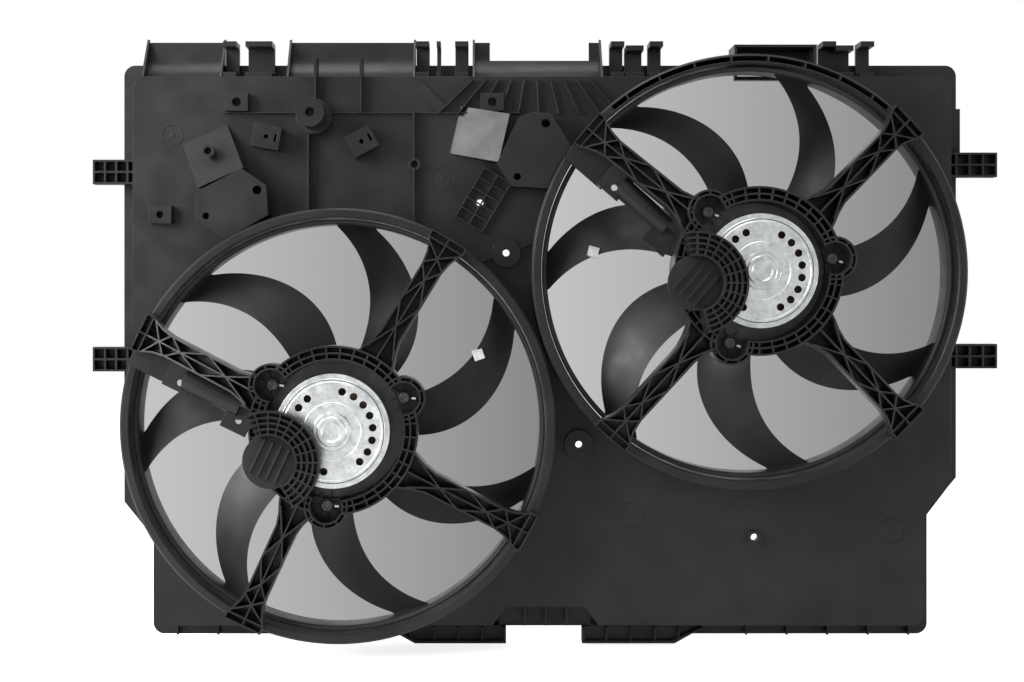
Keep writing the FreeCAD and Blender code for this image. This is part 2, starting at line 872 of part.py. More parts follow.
def armature_core():
    """A slotted stack of laminations on the shaft."""
    radius = "(can_radius - can_wall - shaft_clearance - magnet_thickness - air_gap)"
    y = ("core_rear", "core_front")
    blank = post("core_blank", ("0", "0"), radius, y)
    far = ("core_rear - 1", "core_front + 1")
    bore = post("core_bore", ("0", "0"), "shaft_radius + shaft_clearance", far)
    mouth = block("core_slot_mouth", (f"{radius} * 0.8", f"{radius} + 1"), far, ("-1", "1"))
    slot = post("core_slot", (f"{radius} * 0.74", "0"), f"{radius} * 0.13", far)
    slots = around("core_slots_all", fuse("core_slot_whole", [mouth, slot]), even("core_slots"))
    return cut("core_slotted", blank, fuse("core_cuts", [bore, slots]))


def windings():
    """The end turns on both faces of the core."""
    radius = "(can_radius - can_wall - magnet_thickness - air_gap)"
    turns = []
    ends = (("front", "core_front", "core_front + 6"), ("rear", "core_rear", "core_rear - 4"))
    for name, near, far in ends:
        turns.append(turned(f"end_turns_{name}", [
            ("commutator_radius + 3", near),
            (f"{radius} * 0.86", near),
            (f"{radius} * 0.8", far),
            ("commutator_radius + 4.5", far),
        ]))
    whole = doc.addObject("Part::Compound", "end_turns")
    whole.Links = turns
    return whole


def commutator():
    return turned("commutator_body", [
        ("shaft_radius + shaft_clearance", "commutator_rear"),
        ("commutator_radius", "commutator_rear"),
        ("commutator_radius", "commutator_front"),
        ("shaft_radius + shaft_clearance", "commutator_front"),
    ])


def brush_card():
    """The insulating card with its brush boxes, resting in the rear of the can."""
    card_rear = "(commutator_rear - 2 - brush_card_thickness)"
    y = (card_rear, f"{card_rear} + brush_card_thickness")
    disc = post("card_disc", ("0", "0"), "can_radius - can_wall - shaft_clearance", y)
    hole = post("card_hole", ("0", "0"), "commutator_radius + 3", ("can_rear - 5", "commutator_front"))
    box = block(
        "brush_box",
        ("commutator_radius + 4", "commutator_radius + 20"),
        (f"{card_rear} + brush_card_thickness / 2", "commutator_rear + 9"),
        ("-brush_width / 2 - 1.5", "brush_width / 2 + 1.5"),
    )
    boxes = around("brush_boxes", box, even("brush_count"))
    slot = block(
        "brush_slot",
        ("commutator_radius", "commutator_radius + 22"),
        ("commutator_rear + 0.8", "commutator_rear + 7.4"),
        ("-brush_width / 2 - shaft_clearance", "brush_width / 2 + shaft_clearance"),
    )
    slots = around("brush_slots", slot, even("brush_count"))
    return cut("card_whole", fuse("card_blank", [disc, boxes]), fuse("card_cuts", [hole, slots]))


def brushes():
    brush = block(
        "brush",
        ("commutator_radius + shaft_clearance", "commutator_radius + 15"),
        ("commutator_rear + 0.9", "commutator_rear + 7.3"),
        ("-brush_width / 2", "brush_width / 2"),
    )
    return around("brush_set", brush, even("brush_count"))


def bearings():
    """The front and rear shaft bearings."""
    pocket = "(cover_rear - cover_boss_height + cover_thickness)"
    rings = []
    for name, low in (("front", "can_front - shaft_clearance"), ("rear", f"{pocket} + shaft_clearance")):
        rings.append(turned(f"bearing_{name}", [
            ("shaft_radius + shaft_clearance", low),
            ("bearing_radius", low),
            ("bearing_radius", f"{low} + bearing_length"),
            ("shaft_radius + shaft_clearance", f"{low} + bearing_length"),
        ]))
    whole = doc.addObject("Part::Compound", "bearing_pair")
    whole.Links = rings
    return whole


# ---------------------------------------------------------------- ring and spider


RING_FRONT = "(-plenum_depth - ring_depth)"
PANEL_FRONT = "(-plenum_depth)"


def ring():
    """The double-walled fan ring that stands on the panel, with radial ribs inside."""
    base = turned("ring_base", [
        ("ring_inner_radius", PANEL_FRONT),
        ("ring_inner_radius + ring_wall", PANEL_FRONT),
        ("ring_inner_radius + ring_wall", f"{RING_FRONT} + ring_wall"),
        ("ring_outer_radius - ring_wall", f"{RING_FRONT} + ring_wall"),
        ("ring_outer_radius - ring_wall", PANEL_FRONT),
        ("ring_outer_radius", PANEL_FRONT),
        ("ring_outer_radius", f"{RING_FRONT} + ring_lip_round / 2"),
        ("ring_outer_radius - ring_lip_round / 2", RING_FRONT),
        ("ring_inner_radius + ring_wall / 2", RING_FRONT),
        ("ring_inner_radius", f"{RING_FRONT} + ring_wall / 2"),
    ])
    rib = block(
        "ring_rib",
        ("ring_inner_radius + ring_wall / 2", "ring_outer_radius - ring_wall / 2"),
        (f"{RING_FRONT} + ring_wall / 2", PANEL_FRONT),
        ("-ring_rib_thickness / 2", "ring_rib_thickness / 2"),
    )
    return fuse("ring_ribbed", [base, around("ring_ribs", rib, even("ring_rib_count", 5))])


def ring_mouth():
    """The stretch of the ring's front wall that is left open between the walls."""
    y = (f"{RING_FRONT} - 1", f"{RING_FRONT} + ring_wall * 1.5")
    band = cut(
        "mouth_band",
        post("mouth_outer", ("0", "0"), "ring_outer_radius - ring_wall", y),
        post("mouth_inner", ("0", "0"), "ring_inner_radius + ring_wall", (f"{RING_FRONT} - 2", PANEL_FRONT)),
    )
    reach = "ring_outer_radius * 2"
    wedge = prism(
        "mouth_wedge",
        [
            ("0", "0"),
            (f"{reach} * cos(ring_open_start)", f"{reach} * sin(ring_open_start)"),
            ("0", f"{reach} * 1.2"),
            (f"{reach} * cos(ring_open_end)", f"{reach} * sin(ring_open_end)"),
        ],
        y,
    )
    sector = common("mouth_sector", band, wedge)
    rib = block(
        "mouth_rib",
        ("ring_inner_radius", "ring_outer_radius"),
        (f"{RING_FRONT} - 2", PANEL_FRONT),
        ("-ring_rib_thickness / 2", "ring_rib_thickness / 2"),
    )
    return cut("mouth", sector, around("mouth_ribs", rib, even("ring_rib_count", 5)))


def hub_ring():
    """Two rows of cells between three round walls, on a rear web."""
    inside = "spider_back - spider_web"
    half = "spider_wall / 2"
    walls = turned("hub_ring_walls", [
        ("spider_inner_radius", "spider_back"),
        ("spider_outer_radius", "spider_back"),
        ("spider_outer_radius", "spider_front"),
        ("spider_outer_radius - spider_wall", "spider_front"),
        ("spider_outer_radius - spider_wall", inside),
        (f"spider_middle_radius + {half}", inside),
        (f"spider_middle_radius + {half}", "spider_front"),
        (f"spider_middle_radius - {half}", "spider_front"),
        (f"spider_middle_radius - {half}", inside),
        ("spider_inner_radius + spider_wall", inside),
        ("spider_inner_radius + spider_wall", "spider_front"),
        ("spider_inner_radius", "spider_front"),
    ])
    rib = block(
        "hub_ring_rib",
        (f"spider_inner_radius + {half}", f"spider_outer_radius - {half}"),
        ("spider_front", inside),
        ("-rib_thickness / 2", "rib_thickness / 2"),
    )
    return [walls, around("hub_ring_ribs", rib, even("spider_rib_count"))]


def ears():
    """Round lobes for the screws: an outer wall, an inner wall and short ribs between."""
    inside = "spider_back - spider_web"
    walls = turned("ear_walls", [
        ("0", "spider_back"),
        ("ear_radius", "spider_back"),
        ("ear_radius", "spider_front"),
        ("ear_radius - spider_wall", "spider_front"),
        ("ear_radius - spider_wall", inside),
        ("ear_pocket_radius", inside),
        ("ear_pocket_radius", "spider_front"),
        ("0", "spider_front"),
    ])
    rib = block(
        "ear_rib",
        ("ear_pocket_radius - 1", "ear_radius - spider_wall / 2"),
        ("spider_front", inside),
        ("-rib_thickness / 2", "rib_thickness / 2"),
    )
    whole = fuse("ear_whole", [walls, around("ear_ribs", rib, even("9"))])
    bind(whole, Placement__Base__x="screw_circle_radius")
    return around("ears_all", whole, screw_angles())


def ear_pockets():
    """What is taken out of the hub: the motor's bore, the screw pockets and the screw holes."""
    bore = post("spider_bore", ("0", "0"), "spider_inner_radius", ("bridge_front", "spider_back + 1"))
    pocket = post(
        "ear_pocket",
        ("screw_circle_radius", "0"),
        "ear_pocket_radius - spider_wall",
        ("spider_front - 1", "spider_back - ear_floor"),
    )
    hole = post(
        "ear_hole",
        ("screw_circle_radius", "0"),
        "screw_shank_radius + shaft_clearance",
        ("spider_front - 1", "spider_back + 1"),
    )
    return [bore, around("ear_pockets", fuse("ear_pocket_whole", [pocket, hole]), screw_angles())]


def strut_outline(name, shrink, end):
    """The plan of a strut along +X, wide at the hub and at its foot."""
    half = [
        ("strut_root_radius", "strut_hub_half_width"),
        ("spider_outer_radius + 2", "strut_hub_half_width * 0.8"),
        ("(spider_outer_radius + strut_waist_start) / 2", "strut_half_width * 1.25"),
        ("strut_waist_start", "strut_half_width"),
        ("strut_waist_end", "strut_half_width"),
        ("(strut_waist_end + ring_inner_radius) / 2", "strut_half_width * 1.2"),
        ("ring_inner_radius - 3", "strut_foot_half_width * 0.85"),
        ("ring_inner_radius + 2", "strut_foot_half_width"),
        (end, "strut_foot_half_width"),
    ]
    upper = [(along, f"{across} - {shrink}") for along, across in half]
    lower = [(along, f"-({across} - {shrink})") for along, across in reversed(half)]
    return prism(name, lower + upper, ("spider_front - 2", "-plenum_depth"))


def strut_band(name, depth_hub, depth_foot):
    """The side view of a strut: it climbs from the ring's front to the hub."""
    return side_prism(name, [
        ("strut_root_radius - 2", "spider_back"),
        ("spider_outer_radius + 4", "spider_back"),
        ("ring_inner_radius - 1", RING_FRONT),
        ("ring_outer_radius + 4", RING_FRONT),
        ("ring_outer_radius + 4", f"{RING_FRONT} - {depth_foot}"),
        ("ring_inner_radius - 1", f"{RING_FRONT} - {depth_foot}"),
        ("screw_circle_radius + plate_ear_radius", f"spider_back - {depth_hub}"),
        ("strut_root_radius - 2", f"spider_back - {depth_hub}"),
    ], "strut_hub_half_width * 2")


def lattice():
    """The strut's ribs: a spine with crossed diagonals at its nodes."""
    y = ("spider_front - 1", "-plenum_depth - 1")
    bars = [strip("spine", ("strut_root_radius", "0"), ("ring_outer_radius", "0"), "rib_thickness", y)]
    middle = "(strut_node_one + strut_node_two) / 2"
    reaches = [
        ("strut_node_one", "strut_node_one - 2 * strut_node_reach", "strut_half_width * 1.3"),
        ("strut_node_one", middle, "strut_half_width"),
        ("strut_node_two", middle, "strut_half_width"),
        ("strut_node_two", "strut_node_two + strut_node_reach", "strut_half_width"),
        ("strut_node_three", "strut_node_two + strut_node_reach", "strut_half_width"),
        ("strut_node_three", "strut_node_three + strut_node_reach", "strut_foot_half_width"),
    ]
    for index, (node, along, across) in enumerate(reaches):
        for side, sign in (("upper", ""), ("lower", "-")):
            end = (along, f"{sign}{across}")
            bars.append(strip(f"diagonal_{side}_{index}", (node, "0"), end, "rib_thickness", y))
    cross = ("ring_inner_radius + ring_wall / 2", "strut_foot_half_width")
    bars.append(strip("foot_cross", (cross[0], f"-{cross[1]}"), cross, "rib_thickness", y))
    return fuse("lattice_bars", bars)


def strut():
    outline = strut_outline("strut_plan", "0", "ring_outer_radius + 3")
    inside = strut_outline("strut_inside", "spider_wall", "ring_outer_radius - spider_wall")
    open_box = cut("strut_box", outline, inside)
    ribs = common("strut_lattice", lattice(), outline)
    deep = strut_band("strut_side", "(spider_back - spider_front)", "strut_foot_depth")
    shallow = strut_band("strut_web_side", "spider_web", "spider_web")
    walls = common("strut_walls", fuse("strut_ribs", [open_box, ribs]), deep)
    web = common("strut_web", outline, shallow)
    whole = fuse("strut_blank", [walls, web])
    reach = ("spider_front - 5", "0")
    hub = post("strut_hub_trim", ("0", "0"), "spider_outer_radius - spider_wall / 2", reach)
    rim = post("strut_rim_trim", ("0", "0"), "ring_outer_radius", reach)
    return cut("strut_whole", common("strut_trimmed", whole, rim), hub)


def bridge_ring(name, front, back):
    """A full ring of cells, from which the bridge over the motor is cut."""
    rows = int(value("bridge_rows"))
    inside = f"{back} - spider_web"
    pitch = "((bridge_outer_radius - bridge_inner_radius - spider_wall) / bridge_rows)"
    profile = [("bridge_inner_radius", back), ("bridge_outer_radius", back)]
    for row in range(rows, -1, -1):
        outer = f"bridge_inner_radius + spider_wall + {row} * {pitch}"
        inner = f"bridge_inner_radius + {row} * {pitch}"
        if row < rows:
            profile.append((outer, inside))
        profile.append((outer, front))
        profile.append((inner, front))
        if row > 0:
            profile.append((inner, inside))
    walls = turned(f"{name}_walls", profile)
    rib = block(
        f"{name}_rib",
        ("bridge_inner_radius + 0.5", "bridge_outer_radius - 0.5"),
        (front, inside),
        ("-rib_thickness / 2", "rib_thickness / 2"),
    )
    return fuse(f"{name}_whole", [walls, around(f"{name}_ribs", rib, even("bridge_rib_count"))])


def bridge():
    """The ribbed cable bridge that arches over the motor and stands on the hub ring."""
    reach = "bridge_outer_radius * 1.5"
    corners = [("0", "0")]
    for share in range(5):
        angle = f"(bridge_start + (bridge_end - bridge_start) * {share} / 4)"
        corners.append((f"{reach} * cos({angle})", f"{reach} * sin({angle})"))
    wedge = prism("bridge_wedge", corners, ("bridge_front - 5", "spider_front"))
    span = common("bridge_span", bridge_ring("span", "bridge_front", "bridge_back"), wedge)
    legs = common("bridge_legs", bridge_ring("leg", "bridge_front", "spider_front"), wedge)
    for piece in (span, legs):
        bind(piece, Placement__Base__x="bridge_x", Placement__Base__z="bridge_z")
    outer = post("leg_outer", ("0", "0"), "spider_outer_radius", ("bridge_front - 5", "spider_front"))
    inner = post("leg_inner", ("0", "0"), "spider_inner_radius", ("bridge_front - 6", "spider_front + 1"))
    standing = common("bridge_standing", legs, cut("leg_ring", outer, inner))
    return [span, standing]


def wire_guide():
    """The rounded wire cover along the second strut, with its two drilled plates."""
    plate_y = ("guide_axis_y - guide_plate_thickness", "guide_axis_y")
    near = "strut_half_width - spider_wall / 2"
    length = "(guide_end - guide_start)"
    outer = post("guide_outer", ("0", "0"), "guide_width / 2", ("0", length))
    inner = post("guide_inner", ("0", "0"), "guide_width / 2 - spider_wall", ("-1", f"{length} + 1"))
    lower = block(
        "guide_lower",
        ("-guide_width", "guide_width"),
        ("-1", f"{length} + 1"),
        ("-guide_width", "0"),
    )
    cover = cut("guide_cover", outer, fuse("guide_hollow", [inner, lower]))
    doc.recompute()
    laid = doc.addObject("Part::Feature", "guide_laid")
    laid.Shape = cover.Shape.copy()
    lie = Rotation(Vector(0, 0, 1), -90)
    laid.Placement = Placement(Vector(), FACING_ENGINE.multiply(lie))
    bind(laid, Placement__Base__x="guide_start", Placement__Base__z="guide_offset")
    bind(laid, Placement__Base__y="guide_axis_y")
    first = block(
        "guide_plate_one",
        ("guide_end - 8", "guide_end + 17"),
        plate_y,
        (near, "guide_offset + guide_width * 0.65"),
    )
    second = block(
        "guide_plate_two",
        ("guide_start - 16", "guide_start + 10"),
        plate_y,
        ("guide_offset", "guide_offset + guide_width * 1.2"),
    )
    seat = block(
        "guide_seat",
        ("guide_end + 10", "ring_outer_radius - ring_wall"),
        (f"{RING_FRONT} - guide_plate_thickness", RING_FRONT),
        (near, "guide_offset + guide_width * 0.65"),
    )
    riser = block(
        "guide_riser",
        ("guide_end + 12", "guide_end + 14.5"),
        ("guide_axis_y - guide_plate_thickness", RING_FRONT),
        (near, "guide_offset + guide_width * 0.65"),
    )
    reach = ("bridge_front", "0")
    holes = [
        post("guide_hole_one", ("guide_end + 2", "guide_offset + 5"), "guide_hole_radius", reach),
        post("guide_hole_two", ("guide_start - 4", "guide_offset + 13"), "guide_hole_radius", reach),
    ]
    blank = fuse("guide_blank", [laid, first, second, seat, riser])
    whole = cut("guide_whole", blank, fuse("guide_holes", holes))
    return around("guide_turned", whole, [value("strut_angle_two")])


def spider():
    """The moulded motor carrier: hub ring, ears, four struts, bridge and wire guide."""
    angles = [value(f"strut_angle_{number}") for number in ("one", "two", "three", "four")]
    hub = fuse("spider_hub", hub_ring() + [ears()])
    hollow = cut("spider_hub_open", hub, fuse("spider_cuts", ear_pockets()))
    struts = around("struts", strut(), angles)
    pockets = around("strut_pockets", doc.getObject("ear_pocket_whole"), screw_angles())
    clear = cut("struts_clear", struts, pockets)
    return fuse("spider_whole", [hollow, clear, wire_guide()] + bridge())


def connector():
    """The motor's plug socket, beside the can under the bridge."""
    middle, far = "socket_z", "socket_x"
    half_length, half_width = "socket_length / 2", "socket_width / 2"
    shell = block(
        "socket_shell",
        (f"{far} - {half_width}", f"{far} + {half_width}"),
        ("spider_front - socket_rise", "spider_back"),
        (f"{middle} - {half_length}", f"{middle} + {half_length}"),
    )
    hollow = block(
        "socket_hollow",
        (f"{far} - {half_width} + socket_wall", f"{far} + {half_width} - socket_wall"),
        ("spider_front - socket_rise - 1", "spider_front + socket_depth"),
        (f"{middle} - {half_length} + socket_wall", f"{middle} + {half_length} - socket_wall"),
    )
    return cut("socket", shell, hollow)


# ---------------------------------------------------------------- panel


def rim_corners():
    return [
        ("-rim_half_width", "rim_top"),
        ("-rim_half_width", "left_step_top"),
        ("-rim_lower_half_width", "left_step_bottom"),
        ("-rim_lower_half_width", "rim_bottom"),
        ("rim_lower_half_width", "rim_bottom"),
        ("rim_lower_half_width", "right_step_bottom"),
        ("rim_half_width", "right_step_top"),
        ("rim_half_width", "rim_shoulder_bottom - rim_shoulder_step"),
        ("rim_half_width + rim_shoulder_step", "rim_shoulder_bottom"),
        ("rim_half_width + rim_shoulder_step", "rim_shoulder_top"),
        ("rim_half_width", "rim_shoulder_top"),
        ("rim_half_width", "rim_top"),
    ]


def plenum_corners(inset):
    """The plenum's plan, drawn in by inset on every side."""
    return [
        (f"-plenum_half_width + {inset}", f"plenum_top - {inset}"),
        (f"-plenum_half_width + {inset}", "left_step_top"),
        (f"-plenum_lower_half_width + {inset}", "left_step_bottom"),
        (f"-plenum_lower_half_width + {inset}", f"plenum_bottom + {inset}"),
        (f"plenum_lower_half_width - {inset}", f"plenum_bottom + {inset}"),
        (f"plenum_lower_half_width - {inset}", "right_step_bottom"),
        (f"plenum_half_width - {inset}", "right_step_top"),
        (f"plenum_half_width - {inset}", f"plenum_top - {inset}"),
    ]


def rounded(name, base, radius, corners):
    """The base with the upright edges at the given corners rounded."""
    doc.recompute()
    places = [(value(x), value(z)) for x, z in corners]
    chosen = []
    for index, edge in enumerate(base.Shape.Edges, 1):
        start, end = edge.Vertexes[0].Point, edge.Vertexes[-1].Point
        upright = abs(start.x - end.x) < 0.01 and abs(start.z - end.z) < 0.01
        if upright and any(math.hypot(start.x - x, start.z - z) < 0.01 for x, z in places):
            chosen.append((index, value(radius), value(radius)))
    smooth = doc.addObject("Part::Fillet", name)
    smooth.Base = base
    smooth.Edges = chosen
    return smooth


def fan_circles(name, radius, y):
    return [post(f"{name}_{side}", place, radius, y) for side, place in SIDES.items()]


def plenum():
    """The hollow box of the panel, bulged round both rings and open towards the radiator."""
    bulge = "ring_outer_radius + ring_bulge_margin"
    outer = rounded(
        "plenum_outer",
        prism("plenum_outer_blank", plenum_corners("0"), (PANEL_FRONT, "0")),
        "plenum_corner_radius",
        plenum_corners("0"),
    )
    inner_y = ("wall - plenum_depth", "1")
    inner = rounded(
        "plenum_inner",
        prism("plenum_inner_blank", plenum_corners("wall"), inner_y),
        "plenum_corner_radius - wall",
        plenum_corners("wall"),
    )
    rim = rounded(
        "rim",
        prism("rim_blank", rim_corners(), ("-rim_thickness", "0")),
        "rim_corner_radius",
        rim_corners()[0:1] + rim_corners()[3:5] + rim_corners()[11:12],
    )
    raised, insides = raised_fittings()
    clear = cut(
        "raised_clear",
        fuse("raised_blank", raised),
        fuse("ring_room", fan_circles("ring_room", bulge, (f"{RING_FRONT} - 1", PANEL_FRONT))),
    )
    solid = [rim, outer, clear] + fan_circles("bulge", bulge, (PANEL_FRONT, "0")) + foot_blocks()
    hollow = [inner] + insides + fan_circles("bulge_inside", f"{bulge} - wall", inner_y)
    openings = fan_circles("fan_opening", "ring_inner_radius", (f"{PANEL_FRONT} - 1", "1"))
    taken = hollow + openings + [notch()] + foot_cells() + holes()
    shell = cut("plenum_open", fuse("plenum_solid", solid), fuse("plenum_hollow", taken))
    wall, pocket, ribs = notch_recess()
    recessed = cut("plenum_recessed", fuse("plenum_walled", [shell, wall]), pocket)
    return fuse("plenum_whole", [recessed, ribs])


def foot_blocks():
    """The two bottom feet that hang below the rim."""
    return [prism(f"foot_{side}", foot_corners(side, "0"), ("-foot_depth", "0")) for side in ("left", "right")]


def foot_corners(side, inset):
    """A foot's plan, slanted on its outer side and drawn in by inset."""
    start, end = f"foot_{side}_start", f"foot_{side}_end"
    if side == "left":
        low = (f"{start} + foot_slant", end)
    else:
        low = (start, f"{end} - foot_slant")
    return [
        (f"{start} + {inset}", "rim_bottom + foot_root"),
        (f"{low[0]} + {inset}", f"foot_bottom + {inset}"),
        (f"{low[1]} - {inset}", f"foot_bottom + {inset}"),
        (f"{end} - {inset}", "rim_bottom + foot_root"),
    ]


def foot_cells():
    """The cells between a foot's ribs, open towards the engine."""
    count = int(value("foot_cell_count"))
    cells = []
    for side in ("left", "right"):
        reach = ("-foot_depth - 1", "-2 * wall")
        pocket = prism(f"foot_pocket_{side}", foot_corners(side, "wall"), reach)
        width = f"((foot_{side}_end - foot_{side}_start) / {count})"
        slots = [
            block(
                f"foot_slot_{side}_{column}",
                (
                    f"foot_{side}_start + {column} * {width} + rib_thickness / 2",
                    f"foot_{side}_start + ({column} + 1) * {width} - rib_thickness / 2",
                ),
                ("-foot_depth - 2", "-wall"),
                ("foot_bottom", "rim_bottom + foot_root"),
            )
            for column in range(count)
        ]
        cells.append(common(f"foot_cells_{side}", pocket, fuse(f"foot_slots_{side}", slots)))
    return cells


def notch():
    """The gap between the feet, cut through the rim."""
    return prism("notch", [
        ("notch_left", "foot_bottom - 1"),
        ("notch_left", "rim_bottom + foot_root"),
        ("notch_right", "rim_bottom + foot_root"),
        ("notch_right", "foot_bottom - 1"),
    ], ("-rim_thickness - 1", "1"))


def notch_recess():
    """The ribbed recess above the notch: its wall, the pocket taken out of it and its ribs."""
    def corners(margin):
        return [
            (f"notch_left - notch_slant - {margin}", f"plenum_bottom - {margin} / 4"),
            (f"notch_left - {margin}", f"notch_top + {margin}"),
            (f"notch_right + {margin}", f"notch_top + {margin}"),
            (f"notch_right + notch_slant + {margin}", f"plenum_bottom - {margin} / 4"),
        ]

    floor = "(notch_depth - plenum_depth)"
    wall = prism("recess_wall", corners("0.9 * wall"), (f"{PANEL_FRONT} + wall / 2", f"{floor} + wall"))
    pocket = prism("recess_pocket", corners("0"), (f"{PANEL_FRONT} - 1", floor))
    mouth = block(
        "recess_mouth",
        ("notch_left - notch_slant / 2", "notch_right + notch_slant / 2"),
        (f"{PANEL_FRONT} - 1", floor),
        ("plenum_bottom - 1", "plenum_bottom + wall"),
    )
    middle = "((notch_left + notch_right) / 2)"
    ribs = [
        block(
            f"recess_rib_{index}",
            (
                f"{middle} + {step} * notch_rib_pitch - rib_thickness / 2",
                f"{middle} + {step} * notch_rib_pitch + rib_thickness / 2",
            ),
            (PANEL_FRONT, f"{floor} + wall / 2"),
            ("plenum_bottom", "notch_top + wall / 2"),
        )
        for index, step in enumerate((-1, 0, 1))
    ]
    return wall, fuse("recess_cuts", [pocket, mouth]), fuse("recess_ribs", ribs)


def rim_ribs():
    """Short ribs between the plenum's lower wall and the rim's edge."""
    ribs = []
    for side, count in (("left", 3), ("right", 5)):
        for index in range(count):
            x = f"(rim_rib_first_{side} + {index} * rim_rib_pitch)"
            ribs.append(block(
                f"rim_rib_{side}_{index}",
                (f"{x} - rib_thickness / 2", f"{x} + rib_thickness / 2"),
                ("-rim_rib_depth", "-rim_thickness / 2"),
                ("rim_bottom + 1", "plenum_bottom + wall / 2"),
            ))
    return ribs


def above(height):
    """From a height in front of the panel down into its wall."""
    return f"{PANEL_FRONT} - {height}", f"{PANEL_FRONT} + wall / 2"


def line_rib(name, height):
    """A rib that stands on the panel along a stated line."""
    return strip(f"{name}_rib", spot(name), spot(name, 1), "rib_thickness", above(height))


def sunburst():
    """Ribs that spread downwards from one point above the panel."""
    ribs = []
    count = int(value("sunburst_count"))
    share = "((sunburst_z - sunburst_top) / (sunburst_z - sunburst_bottom))"
    for index in range(count):
        low = f"(sunburst_left + (sunburst_right - sunburst_left) * {index} / {count - 1})"
        high = f"(sunburst_x + ({low} - sunburst_x) * {share})"
        ends = ((low, "sunburst_bottom"), (high, "sunburst_top"))
        ribs.append(strip(f"sunburst_{index}", *ends, "rib_thickness", above("sunburst_height")))
    return ribs


def outlined(name, height):
    """A raised plate with a stated outline, and the hollow behind it."""
    count = len(OUTLINES[name])
    corners = [spot(name, index) for index in range(count)]
    middle = [f"(({' + '.join(axis)}) / {count})" for axis in zip(*corners)]
    inside = [
        tuple(f"{centre} + ({place} - {centre}) * hollow_share" for place, centre in zip(corner, middle))
        for corner in corners
    ]
    plate = prism(name, corners, above(height))
    hollow = prism(f"{name}_inside", inside, (f"{PANEL_FRONT} - {height} + wall", f"{PANEL_FRONT} + 2 * wall"))
    return plate, hollow


def ramp(name):
    """A slope that climbs from the panel to a raised plate, and the hollow behind it."""
    (x, z), (far_x, far_z) = spot(name), spot(name, 1)
    slopes = []
    for label, inset in (("", "0"), ("_inside", "wall")):
        slope = side_prism(f"{name}{label}", [
            (f"2 * {inset}", f"{PANEL_FRONT} + wall / 2 + {inset}"),
            (f"2 * {inset}", f"{PANEL_FRONT}"),
            (f"ramp_length - {inset}", f"{PANEL_FRONT} - plate_height + 2 * {inset}"),
            (f"ramp_length - {inset}", f"{PANEL_FRONT} + wall / 2 + {inset}"),
        ], f"ramp_half_width - {inset}")
        slope.Placement = Placement(Vector(), Rotation(Vector(0, -1, 0), 1))
        bind(slope, Placement__Base__x=x, Placement__Base__z=z)
        bind(slope, Placement__Rotation__Angle=f"atan2({far_z} - {z}; {far_x} - {x})")
        slopes.append(slope)
    return slopes


def clip_box(name, angle):
    """A closed box with a slot near one end, and the hollow behind it."""
    y = above("box_height")
    room = (f"{PANEL_FRONT} - box_height + wall", f"{PANEL_FRONT} + 2 * wall")
    outer = bar(f"{name}_outer", spot(name), "pad_length + 2 * box_wall", "pad_length", angle, y)
    inner = bar(f"{name}_inside", spot(name), "pad_length", "pad_length - 2 * box_wall", angle, room)
    aside = "(pad_length / 2 - box_wall)"
    centre = (f"{spot(name)[0]} + {aside} * cos({angle})", f"{spot(name)[1]} + {aside} * sin({angle})")
    depth = (f"{PANEL_FRONT} - box_height - 1", f"{PANEL_FRONT} - box_height + 2 * wall")
    slot = bar(f"{name}_slot", centre, "box_wall", "pad_length / 3", angle, depth)
    return cut(f"{name}_slotted", outer, slot), inner


def strap():
    """The ladder of cells between the two rings."""
    start, end = spot("strap"), spot("strap", 1)
    angle = f"atan2({end[1]} - {start[1]}; {end[0]} - {start[0]})"
    length = f"sqrt(({end[0]} - {start[0]}) ^ 2 + ({end[1]} - {start[1]}) ^ 2)"
    cells = int(value("strap_cells"))
    bars = []
    for row in (-1, 0, 1):
        across = f"({row} * (strap_width - rib_thickness) / 2)"
        centre = (
            f"({start[0]} + {end[0]}) / 2 - {across} * sin({angle})",
            f"({start[1]} + {end[1]}) / 2 + {across} * cos({angle})",
        )
        bars.append(bar(f"strap_rail_{row + 1}", centre, length, "rib_thickness", angle, above("strap_height")))
    for rung in range(cells + 1):
        share = f"({rung} / {cells})"
        centre = tuple(f"{near} + ({far} - {near}) * {share}" for near, far in zip(start, end))
        bars.append(bar(f"strap_rung_{rung}", centre, "rib_thickness", "strap_width", angle, above("strap_height")))
    return bars


def horns():
    """The ribs that carry two gussets on past the top wall to the middle scoop."""
    return [
        block(
            f"{name}_horn",
            (f"{spot(name)[0]} - horn_width / 2", f"{spot(name)[0]} + horn_width / 2"),
            (f"{PANEL_FRONT} - upright_rib_height", "scoop_front + scoop_wall"),
            ("plenum_top - wall", "horn_top"),
        )
        for name in ("left_gusset", "right_gusset")
    ]


